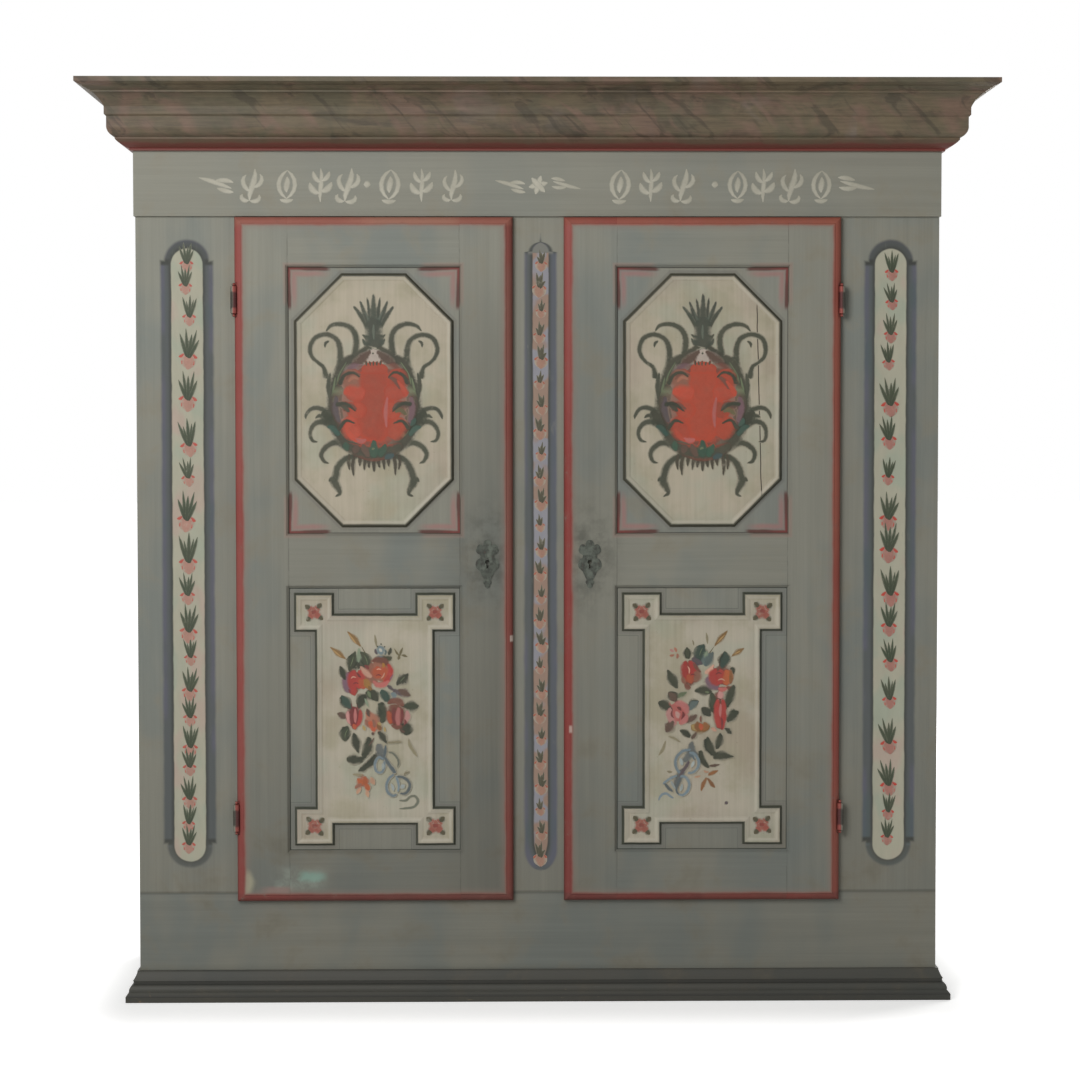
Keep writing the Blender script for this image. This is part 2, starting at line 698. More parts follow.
@dataclass(frozen=True)
class PanelPaint:
    """A door panel: grey margin, a dark line round the raised mirror, and a cream field."""

    mirror: Mirror
    shift: float = 0.0
    cream: Colour = Colour(184, 178, 160)

    def outline(self, graph: Graph) -> Signal:
        """How far each point lies outside the mirror, in millimetres."""
        if self.mirror is Mirror.EARED:
            return self.eared(*LOWER.away(graph))
        half_width, half_height, cut = 161.5, 257.0, 96.0
        aside, rise = UPPER.away(graph)
        corner = (aside + rise - (half_width + half_height - cut)) * math.sqrt(0.5)
        return (aside - half_width).most(rise - half_height).most(corner)

    @staticmethod
    def eared(aside: Signal, rise: Signal) -> Signal:
        """How far each point lies outside the middle and the four ears."""
        middle = (aside - 121.5).most(rise - 215.75)
        ear = (aside - 163.5).most(rise - 257.75).most((82.5 - aside).most(178.75 - rise))
        return middle.least(ear)

    def material(self) -> bpy.types.Material:
        """The finish as a material."""
        graph = Graph(f"panel_paint_{self.mirror.value}_{self.shift:g}", roughness=0.58, specular=0.28)
        octagon = self.mirror is Mirror.OCTAGON
        board, relief = BoardPaint(Axis.Z, self.shift).coat(graph)
        gap = self.outline(graph) + (graph.noise(20.0, self.shift + 11.0, 2.0) - 0.5) * 1.6
        streak = graph.noise(Axis.Z.stretch(150.0, 4.0), self.shift + 12.0, 3.0, 0.65)
        crack = self.crack(graph) if octagon else 0.0
        cream = self.field(graph, gap, streak).under(Colour(58, 50, 42), crack)
        worn = graph.noise(60.0, self.shift + 16.0, 4.0, 0.7).ramp(0.62, 0.74)
        ink = graph.mix(Colour(64, 62, 50) if octagon else Colour(64, 66, 55), Colour(92, 90, 80), worn * 0.7)
        cream = cream.under(Colour(190, 184, 168), gap.band(-13.0, -8.5, 1.5) * (1.0 - worn) * 0.5)
        wide = -6.4 if octagon else -4.8
        colour = self.margin(graph, board, gap).under(cream, gap.ramp(wide + 1.0, wide - 1.0))
        colour = colour.under(ink, gap.band(wide, 0.2, 2.0) * 0.97)
        wood = BarePine(Axis.Z, self.shift + 20.0)
        return wood.behind(graph, colour, relief + streak * 0.1 - crack * 0.8, (-graph.y).ramp(190.4, 190.9))

    def field(self, graph: Graph, gap: Signal, streak: Signal) -> Tint:
        """The cream of the mirror, clouded with age and a little darker towards its edge."""
        age = graph.noise(9.0, self.shift + 13.0, 4.0, 0.6)
        spot = graph.noise(130.0, self.shift + 14.0, 3.0, 0.7)
        green = graph.noise(7.0, self.shift + 17.0).ramp(0.5, 0.64)
        pink = graph.noise(5.0, self.shift + 15.0).ramp(0.52, 0.68)
        cream = graph.mix(self.cream, Colour(164, 157, 133), age.ramp(0.42, 0.66) * 0.8)
        cream = cream.under(Colour(166, 172, 154), green * 0.4).under(Colour(168, 148, 136), pink * 0.3)
        cream = cream.shaded(0.84 + streak * 0.3).under(Colour(120, 108, 88), spot.ramp(0.68, 0.78) * 0.5)
        return cream.shaded(1.0 - gap.ramp(-40.0, -8.0) * 0.07)

    def margin(self, graph: Graph, board: Tint, gap: Signal) -> Tint:
        """The paint outside the mirror: moulding lines, dirt in the groove, and the corner ornament."""
        colour = board.under(Colour(108, 104, 100), gap.band(1.5, 6.0, 1.5) * 0.35)
        if self.mirror is Mirror.EARED:
            aside, rise = LOWER.outside(graph)
            colour = colour.under(Colour(92, 96, 88), gap.band(8.0, 9.6, 0.6) * 0.6)
            return colour.under(Colour(56, 58, 52), aside.most(rise).ramp(-2.2, -0.6) * 0.85)
        aside, rise = UPPER.outside(graph)
        outer = (aside + rise).ramp(-100.0, -60.0)
        colour = colour.under(Colour(92, 92, 84), gap.band(11.0, 12.6, 0.7) * outer * 0.8)
        colour = colour.under(Colour(150, 146, 134), gap.band(13.4, 15.4, 0.8) * outer * 0.4)
        return self.corners(graph, colour, gap, aside.most(rise), aside.least(rise))

    def corners(self, graph: Graph, ground: Tint, gap: Signal, edge: Signal, inner: Signal) -> Tint:
        """The red angles in the corners of the upper panel.

        Args:
            graph: the material being made.
            ground: the margin's paint.
            gap: the distance outside the mirror.
            edge: the distance past the nearest edge of the panel.
            inner: the distance past the other edge, which measures along a leg.

        Returns:
            The margin with the angles on it.
        """
        waver = (graph.noise(30.0, self.shift + 18.0, 3.0) - 0.5) * 3.0
        leg = inner.ramp(-90.0, -76.0)
        blush = (edge + waver * 2.0).band(-18.0, -8.0, 5.0) * inner.ramp(-96.0, -50.0)
        colour = ground.under(Colour(164, 112, 108), blush * 0.58 * gap.ramp(4.0, 22.0))
        ink = graph.mix(Colour(118, 52, 48), Colour(88, 50, 44), inner.ramp(-10.0, -50.0))
        thick = inner.ramp(-8.0, -64.0, -4.6, -6.2)
        colour = colour.under(ink, (edge + waver - thick).ramp(-2.6, 1.4) * leg * 0.9)
        return colour.under(Colour(60, 58, 54), edge.ramp(-2.0, -0.6) * (1.0 - leg) * 0.8)

    @staticmethod
    def crack(graph: Graph) -> Signal:
        """The shrinkage crack down the right-hand octagon."""
        foot, head = 1033.0, 1419.0
        lean = graph.x - 453.0 + (graph.z - foot) * 0.026
        bend = (graph.noise(Axis.Z.stretch(3.0, 14.0), 5.0, 3.0) - 0.5) * 5.0
        return (lean + bend).size().ramp(1.5, 0.5) * graph.z.band(foot, head, 10.0)


@dataclass(frozen=True)
class MarbledPaint:
    """Brown marbling on the crown: slanting reddish, grey and greenish clouds with veins, and a red foot."""

    turn: Place = (0.0, 0.6, 0.0)
    shift: float = 0.0
    grain: Axis = Axis.X
    tone: Colour = Colour(107, 95, 75)
    red: Colour = Colour(122, 98, 84)
    dark: Colour = Colour(74, 66, 54)
    green: Colour = Colour(92, 88, 70)

    def material(self) -> bpy.types.Material:
        """The finish as a material."""
        graph = Graph(f"marbled_paint_{self.shift:g}", roughness=0.55, specular=0.3)
        bloom = graph.noise(7.0, self.shift + 2.0, 3.0, 0.6, 0.5)
        brush = graph.noise((12.0, 12.0, 240.0), self.shift + 3.0, 3.0, 0.7)
        fleck = graph.noise((34.0, 34.0, 120.0), self.shift + 5.0, 4.0, 0.65)
        cloudy = graph.noise((15.0, 15.0, 32.0), self.shift + 6.0, 4.0, 0.6)
        light = (0.1 + brush * 0.85 + fleck * 0.4 + cloudy * 0.5) * graph.x.ramp(-100.0, 700.0, 0.87, 1.0)
        worn = graph.noise(90.0, self.shift + 4.0, 5.0, 0.7)
        waver = (worn - 0.5) * 5.0 + (bloom - 0.5) * 16.0
        colour = self.foot(graph, self.clouds(graph, bloom).shaded(light), waver)
        colour = colour.under(Colour(136, 120, 98), worn.ramp(0.71, 0.77) * 0.6)
        colour = colour.under(Colour(132, 124, 108), graph.facing()[2].ramp(0.8, 0.97) * 0.7)
        hidden = self.hidden(graph)
        wood, wood_relief = BarePine(self.grain, self.shift + 20.0).coat(graph)
        relief = brush * 0.2 + worn * 0.1 + wood_relief * hidden
        return graph.finish(graph.mix(colour, wood, hidden), relief, 0.5)

    def clouds(self, graph: Graph, bloom: Signal) -> Tint:
        """The marbling's clouds and veins, before its light and shade."""
        cloud = graph.noise((9.0, 9.0, 34.0), self.shift, 4.0, 0.6, 0.6)
        drift = graph.slanted((16.0, 16.0, 6.0), self.turn, self.shift + 1.0, 3.0, 0.8)
        vein = graph.slanted((26.0, 26.0, 3.0), self.turn, self.shift + 8.0, 4.0, 0.5)
        colour = graph.mix(self.tone, self.dark, cloud.ramp(0.46, 0.66) * 0.7)
        colour = colour.under(self.red, drift.ramp(0.46, 0.62) * 0.75)
        colour = colour.under(self.green, bloom.ramp(0.48, 0.62) * 0.7)
        grey = bloom.ramp(0.44, 0.32) * graph.x.ramp(200.0, 700.0, 0.25, 0.6)
        colour = colour.under(Colour(120, 110, 104), grey)
        return colour.under(self.dark.scaled(0.9), vein.ramp(0.56, 0.64) * 0.6)

    @staticmethod
    def foot(graph: Graph, ground: Tint, waver: Signal) -> Tint:
        """The dark and the red lines along the foot of the crown."""
        low = graph.z + waver
        colour = ground.under(Colour(88, 66, 50), low.ramp(1757.0, 1747.0) * 0.7)
        colour = colour.under(Colour(104, 54, 46), low.ramp(1746.0, 1739.0) * 0.9)
        return colour.under(Colour(122, 56, 50), (graph.z + waver * 0.2).band(1731.5, 1735.0, 1.0) * 0.7)

    @staticmethod
    def hidden(graph: Graph) -> Signal:
        """One on the back of the moulding, which was never painted."""
        facing = graph.facing()
        inward = facing[1].ramp(0.3, 0.7) * graph.y.ramp(280.0, 270.0)
        sides = graph.math("SIGN", graph.x) * facing[0] * -1.0
        return inward.most(sides.ramp(0.3, 0.7))


@dataclass(frozen=True)
class FootPaint:
    """Dark grey-green paint on the foot moulding, scuffed and dusty towards the floor."""

    grain: Axis = Axis.X
    shift: float = 0.0
    tones: tuple[Colour, Colour, Colour] = (Colour(79, 78, 71), Colour(69, 71, 66), Colour(87, 80, 67))

    def material(self) -> bpy.types.Material:
        """The finish as a material."""
        graph = Graph(f"foot_paint_{self.grain.name}_{self.shift:g}", roughness=0.55, specular=0.3)
        colour, relief = BoardPaint(self.grain, self.shift, *self.tones, 2.2).coat(graph)
        scuff = graph.noise(self.grain.stretch(70.0, 22.0), self.shift + 9.0, 5.0, 0.7)
        colour = colour.under(Colour(126, 112, 90), scuff.ramp(0.64, 0.72) * graph.z.ramp(34.0, 4.0) * 0.8)
        colour = colour.under(Colour(60, 58, 52), graph.z.ramp(14.0, 2.0) * 0.4)
        dirt = graph.z.band(33.5, 40.5, 1.5).most(graph.z.band(10.5, 15.0, 1.2))
        colour = colour.under(Colour(44, 44, 40), dirt * 0.7)
        chips = graph.noise(55.0, self.shift + 8.0, 4.0, 0.7).ramp(0.6, 0.66) * graph.x.ramp(-760.0, -820.0)
        colour = colour.under(Colour(140, 116, 82), chips * graph.z.ramp(26.0, 8.0) * 0.8)
        return graph.finish(colour, relief)


@dataclass(frozen=True)
class OldIron:
    """Forged iron gone brown-black, with rust in the pits and paint slopped over from the door."""

    shift: float = 0.0
    paint: float = 0.25
    hinge: bool = False

    def material(self) -> bpy.types.Material:
        """The finish as a material."""
        graph = Graph(f"old_iron_{self.shift:g}", metallic=0.35, roughness=0.5, specular=0.4)
        pit = graph.noise(420.0, self.shift, 4.0, 0.7)
        rust = graph.noise(95.0, self.shift + 1.0, 5.0, 0.65)
        if self.hinge:
            colour = self.painted_over(graph, rust).shaded(0.66 + pit * 0.35)
        else:
            slopped = graph.noise(50.0, self.shift + 2.0, 4.0).ramp(0.48, 0.6)
            colour = graph.mix(Colour(70, 74, 66), Colour(50, 52, 46), rust.ramp(0.42, 0.6))
            colour = colour.under(Colour(88, 64, 48), rust.ramp(0.6, 0.72) * 0.5)
            colour = colour.under(Colour(100, 106, 96), slopped * self.paint).shaded(0.8 + pit * 0.35)
        return graph.finish(colour, pit * 0.35 + rust * 0.2, 0.7)

    @staticmethod
    def painted_over(graph: Graph, rust: Signal) -> Tint:
        """A hinge's colour: painted over with the wood round it, all but its middle."""
        aside = graph.x.size()
        away = ((graph.z - 902.5).size() - 525.5).size() + (rust - 0.5) * 12.0
        coat = graph.mix(Colour(140, 70, 62), Colour(122, 121, 109), aside.ramp(615.5, 618.5))
        dark = graph.mix(Colour(78, 36, 34), Colour(66, 64, 56), aside.ramp(614.0, 618.0))
        return graph.mix(dark, coat, away.ramp(14.0, 19.0))


@dataclass(frozen=True)
class BrushPaint:
    """Ornament paint laid on with a round brush: mottled, and melting at its edges into what lies under it.

    A piece's attributes give each stroke's colour, the colour under it, and the place across the brush.
    """

    name: str
    soft: float = 0.9
    dull: float = 0.14

    def material(self) -> bpy.types.Material:
        """The finish as a material."""
        graph = Graph(f"brush_paint_{self.name}", roughness=0.52, specular=0.3)
        tint, under = (Tint(graph, graph.attribute(name).outputs["Color"]) for name in ("tint", "under"))
        across = graph.split(graph.attribute("brush").outputs["Vector"])[1]
        hair = graph.noise(260.0, 1.0, 3.0, 0.7)
        body = graph.noise(70.0, 2.0, 4.0, 0.6)
        wash = graph.noise(30.0, 3.0, 3.0, 0.6)
        colour = graph.mix(tint, Colour(112, 104, 88), self.dull + (wash - 0.5) * 0.5)
        colour = colour.shaded(0.74 + hair * 0.2 + body * 0.3)
        edge = (across.size() + (hair - 0.5) * 0.7 + (body - 0.5) * 0.4).ramp(0.4, 1.02)
        colour = colour.under(under, (edge * self.soft).most(body.ramp(0.6, 0.74) * 0.35))
        return graph.finish(colour, hair * 0.12 + body * 0.1, 0.4)


# ---------------------------------------------------------------- ornament paint


class Paint(Enum):
    """The ornament painter's colours."""

    BLUE_GREY = Colour(110, 126, 130)
    CLAY = Colour(146, 98, 80)
    CREAM_YELLOW = Colour(184, 156, 100)
    CURL = Colour(64, 68, 55)
    FAN = Colour(46, 80, 64)
    FAN_BLUE = Colour(54, 78, 80)
    FRAME = Colour(62, 63, 51)
    FRAME_TEAL = Colour(50, 80, 70)
    FRINGE = Colour(62, 58, 46)
    LEAF = Colour(50, 58, 43)
    LEAF_DARK = Colour(43, 49, 37)
    LEAF_LIGHT = Colour(104, 116, 88)
    LEAF_TEAL = Colour(44, 66, 58)
    MAUVE = Colour(112, 86, 92)
    MINT = Colour(138, 152, 128)
    MOSS = Colour(64, 66, 48)
    OCHRE = Colour(164, 118, 60)
    OCHRE_BROWN = Colour(136, 90, 54)
    OCHRE_DARK = Colour(124, 92, 52)
    OLIVE = Colour(102, 94, 66)
    OLIVE_PALE = Colour(138, 130, 104)
    ORANGE_DEEP = Colour(180, 94, 56)
    PALE = Colour(186, 172, 160)
    PEACH = Colour(196, 152, 124)
    PINK = Colour(190, 116, 112)
    PINK_LIGHT = Colour(208, 164, 154)
    PINK_PALE = Colour(196, 142, 136)
    PLUME = Colour(64, 70, 60)
    PLUME_LIGHT = Colour(90, 98, 86)
    RED_BRIGHT = Colour(186, 76, 56)
    RED_FIELD = Colour(170, 71, 51)
    RIBBON = Colour(120, 136, 143)
    RIBBON_DARK = Colour(84, 96, 100)
    RIBBON_LIGHT = Colour(162, 172, 170)
    RIBBON_OLIVE = Colour(108, 112, 98)
    RIBBON_SHADE = Colour(98, 102, 100)
    ROSE_DEEP = Colour(112, 46, 48)
    ROSE_ORANGE = Colour(180, 86, 58)
    ROSE_PINK = Colour(184, 102, 96)
    ROSE_RED = Colour(166, 58, 54)
    RUST_PALE = Colour(170, 112, 90)
    SALMON = Colour(208, 160, 138)
    SLATE = Colour(88, 102, 100)
    SLATE_VIOLET = Colour(86, 76, 80)
    STEM = Colour(92, 86, 60)
    UMBER = Colour(88, 68, 58)
    UMBER_RED = Colour(114, 70, 58)
    VIOLET = Colour(118, 92, 104)
    WHEAT = Colour(138, 106, 64)
    WHEAT_LIGHT = Colour(180, 146, 96)
    WHITE = Colour(204, 200, 186)


Strokes: TypeAlias = tuple[tuple[Paint, Outline, Widths], ...]


def strokes(text: str) -> Strokes:
    """Reads strokes that are written one to a line, below the name of their paint.

    Args:
        text: a paint's name, and then the strokes in it. Each stroke is, for every point that it passes, the
            place across, the place up and the brush's width, in millimetres.

    Returns:
        The strokes, first to last.
    """
    made, paint = [], Paint.LEAF
    for line in text.strip().splitlines():
        if line.isidentifier():
            paint = Paint[line.upper()]
            continue
        numbers = [float(word) for word in line.split()]
        made.append((paint, tuple(zip(numbers[0::3], numbers[1::3])), tuple(numbers[2::3])))
    return tuple(made)


# The ornament of the doors, in the order that it is laid, about the middle of its panel.
LEFT_BOUQUET = strokes("""
leaf_dark
-48 131 24 -43 115 34 -27 109 24
leaf
-22 135 19.5 -17 116 32 -10 106 24
umber_red
-48 95 34 -43 78 49.5 -43 55 30.5
clay
-26 97 30.5 -21 81 42 -22 65 23
0 118 30.5 13 100 53.5 13 76 34
leaf_dark
-19 57 16.5 -8 50 27 2 40 14
leaf_teal
11 58 14 22 48 24 29 37 14
slate_violet
36 60 10 52 53 15.5 70 47 7.5
leaf_dark
-70 47 14 -60 35 27 -50 24 14
-36 30 14 -26 42 27 -17 49 14
rose_deep
-43 27 30.5 -42 6 38.5 -42 -17 19
umber_red
39 32 42 43 9 53.5 47 -15 34
leaf_dark
15 36 14 13 16 24 18 -6 14
rust_pale
-16 13 23 -4 -4 34 4 -22 19
leaf_dark
55 -8 19.5 64 -20 31.5 70 -32 19.5
-63 -14 16.5 -61 -28 29 -57 -42 14
67 33 14 77 27 19.5 87 26 7.5
umber
-74 13 10 -66 8 18 -58 3 12
leaf_dark
-42 -30 13 -40 -47 19.5 -38 -63 7.5
-12 -35 13 -16 -57 22 -26 -77 10
-58 -80 14 -42 -82 20 -26 -86 12
2 -71 12 -13 -91 17 -30 -101 9
ribbon_shade
7 -49 15.5 10 -65 21 13 -80 17
rust_pale
-24 -116 23 -24 -127 34 -22 -138 19
stem
-27 149 2 -21 138 2.5 -15 127 2
wheat
-56 180 3.5 -41 164 15.5 -28 148 4
wheat_light
-53 175 2 -44 163 4 -37 154 2
wheat
-91 148 3.5 -74 135 15.5 -59 123 4
wheat_light
-85 142 2 -76 134 4 -67 127 2
stem
-59 123 2 -50 116 2.5 -44 110 2
mint
-32 146 6 -32 132 12.5 -33 115 4.5
leaf
-39 140 5 -46 119 23 -52 98 7.5
-30 139 5 -18 123 24 -13 106 13.5
leaf_light
-22 132 1 -17 122 2.5 -14 111 1
-43 129 1 -46 118 2.5 -50 107 1
olive_pale
0 173 3 2 160 6 4 147 3
moss
3 122 10.5 18 123 18.5 36 125 13.5
blue_grey
12 151 13.5 12 141 25.5 12 131 18.5
slate_violet
1 144 4.5 2 138 7 5 132 4.5
slate
20 142 3 23 137 6 20 131 4
white
9 145 4.5 12 141 8.5 15 138 4.5
moss
4 149 3 5 149 4 7 147 3
12 155 3 13 153 4 13 152 3
19 149 3 20 148 4 21 147 3
leaf_dark
33 147 4.5 31 138 10.5 27 131 7
olive
50 127 2.5 53 137 7 57 147 2.5
51 129 2.5 45 135 5.5 39 145 2
49 132 3 49 126 8.5 47 121 3
53 131 2.5 60 130 7 67 127 2.5
clay
-6 115 9.5 -9 98 20 -5 83 20 5 75 9.5
umber_red
-6 119 7.5 7 122 16.5 20 118 18.5 26 109 9.5
rose_orange
7 109 13.5 5 96 29 9 83 20
17 110 9.5 20 96 16.5 16 80 9.5
rose_red
27 114 7.5 32 98 15.5 27 83 16.5 18 72 9.5
rose_pink
-4 80 6 5 70 13.5 18 71 13.5 29 79 6
salmon
3 101 2 8 103 3.5 14 101 2
rose_deep
1 89 2 8 91 3.5 14 88 2
salmon
12 83 2 17 88 3.5 20 96 2
ochre
16 116 4 18 110 8.5 16 105 4
violet
30 78 2 33 85 4.5 38 93 2
-48 97 6 -56 88 15.5 -60 76 18.5 -57 62 15.5 -50 54 6
rose_red
-40 101 9.5 -46 88 23 -46 72 23 -40 59 12.5
-32 101 9.5 -28 88 20 -30 75 23 -35 63 12.5
rose_orange
-32 83 9.5 -26 72 20 -22 62 9.5
ochre
-22 83 9.5 -15 72 20 -12 62 9.5
ochre_dark
-14 69 4.5 -9 63 10.5 -5 62 4.5
rose_red
-46 63 9.5 -43 56 18.5 -41 48 4.5
rose_deep
-54 62 2.5 -51 58 6 -50 53 2.5
-37 96 3 -32 89 6 -28 85 3
salmon
-49 83 2 -44 87 3.5 -37 85 2
rose_deep
-45 71 2 -39 75 3.5 -32 72 2
salmon
-30 109 5.5 -19 96 15 -6 85 9.5
rose_deep
-22 111 3.5 -16 107 9.5 -12 102 4.5
leaf_dark
-71 110 5 -66 96 19 -60 80 7
69 94 5 57 82 27 43 70 8
leaf_light
62 88 1 56 82 2 51 76 1
slate_violet
25 70 5.5 31 65 10 39 59 4.5
leaf_teal
14 61 7 18 50 17 24 35 7
blue_grey
32 54 6 39 50 13.5 45 48 6
umber
46 61 5.5 60 54 21 73 48 5.5
leaf_dark
-6 61 10 -1 50 21 6 36 7.5
leaf_light
-15 59 3.5 -12 52 10 -8 43 3.5
leaf_teal
-68 49 5 -58 35 23 -48 21 8
leaf_dark
-24 50 8 -28 36 22 -34 22 7
mint
-21 44 2.5 -17 35 6.5 -13 25 2.5
umber
-16 23 5 -14 14 12 -11 4 5
leaf
6 33 6 16 22 16.5 20 7 7
54 27 5 75 27 25.5 90 27 7.5
umber_red
25 32 6 38 39 13.5 52 36 15.5 58 26 7.5
umber
-77 13 4.5 -68 8 15.5 -60 3 8
pink_pale
-54 18 4.5 -56 9 9.5 -53 -3 9.5 -48 -10 4.5
rose_deep
-46 22 5.5 -48 8 10.5 -46 -8 10 -43 -16 4.5
rose_red
-30 21 4.5 -29 8 11 -32 -6 10.5 -39 -16 4.5
pink
-40 23 4.5 -40 8 9.5 -40 -8 5.5
rose_orange
-44 -8 7.5 -41 -16 12.5 -40 -21 4.5
27 18 8.5 30 4 14 32 -10 8.5
rose_deep
39 25 6.5 38 8 12 39 -9 8.5
pink
49 25 8.5 46 5 13.5 48 -13 10
rose_deep
55 22 4 55 8 7.5 53 -8 4
pink_pale
65 19 6.5 66 5 15.5 60 -9 8.5
umber_red
33 -12 5.5 45 -16 10 56 -12 5.5
rose_deep
60 1 3 62 -6 7.5 60 -13 3.5
leaf_dark
65 -8 8 64 -20 28 62 -32 10.5
umber
50 -20 4 56 -24 8 62 -26 4
clay
-19 1 6.5 -16 -8 13.5 -12 -16 6.5
rose_orange
-14 -5 8.5 -5 -12 18.5 -2 -26 8.5
clay
-5 1 6.5 -1 -8 12 -2 -18 6.5
ochre_brown
4 -9 6.5 9 -16 13.5 13 -23 5.5
cream_yellow
5 -6 3.5 9 -9 7.5 13 -12 3.5
-25 -12 4 -22 -18 8.5 -19 -23 4
umber
-6 -26 5.5 -4 -30 9 -3 -32 4
leaf
22 16 7 16 4 16.5 12 -8 7.5
cream_yellow
19 -15 3 20 -21 6 21 -26 3
leaf
-55 -13 7.5 -61 -29 23 -62 -45 10.5
leaf_dark
-44 -27 5 -39 -47 22.5 -34 -69 5
-8 -40 7.5 -15 -60 23 -22 -80 7.5
umber
-2 -37 2 -6 -45 4.5 -14 -55 2
leaf_dark
-58 -82 13 -43 -82 24 -31 -82 15 -21 -77 4.5
6 -24 8 16 -36 18 25 -50 4
0 -74 8 -7 -90 13 -22 -97 7
-12 -94 5 -24 -100 15 -35 -106 5
leaf_light
-55 -19 1 -60 -29 2 -61 -39 1
ribbon_shade
1 -63 6.5 9 -60 20 18 -69 10
ribbon_dark
21 -52 4 21 -63 8 19 -74 8 18 -82 5.5
ribbon
18 -82 5.5 8 -77 7 1 -86 8 0 -97 8 4 -107 7 13 -108 7 19 -97 6 18 -84 5.5
ribbon_light
15 -89 4 16 -95 8.5 15 -102 4
ribbon_dark
19 -76 6.5 28 -92 11 36 -102 11 42 -111 8
ribbon_olive
26 -67 4 36 -69 6 45 -79 6.5 48 -89 6.5 45 -99 3.5
ribbon
39 -112 7 29 -120 8 23 -134 8 26 -149 8 36 -156 8 45 -153 5.5
42 -114 5.5 46 -126 7 48 -137 6 46 -149 4.5
ribbon_dark
43 -117 6 56 -118 8 68 -127 8.5 70 -139 9 62 -151 8 49 -151 4
ribbon_light
53 -133 6.5 56 -137 14.5 59 -141 6.5
32 -130 3.5 36 -139 8 38 -147 3.5
ribbon_olive
48 -166 4 62 -166 6.5 72 -158 6.5 82 -158 6.5 87 -168 8 79 -179 6.5 63 -182 6 48 -183 3
olive_pale
58 -114 3 63 -109 6.5 70 -107 2.5
-46 -112 4 -35 -113 7 -24 -114 4
orange_deep
-21 -116 6.5 -21 -126 15.5 -19 -136 6.5
-36 -120 5.5 -31 -127 13.5 -25 -133 6.5
clay
-42 -141 4 -35 -136 11 -26 -131 6.5
orange_deep
-19 -131 6.5 -15 -139 14 -12 -146 5.5
peach
-9 -117 5.5 -5 -126 12 -1 -134 5.5
-38 -153 3.5 -34 -146 10 -28 -139 4
-19 -143 4 -16 -151 10 -14 -160 4
olive_pale
23 -47 3 33 -47 6 46 -46 6 55 -46 2.5
68 -40 4 71 -53 8.5 79 -66 8.5 86 -77 3""")
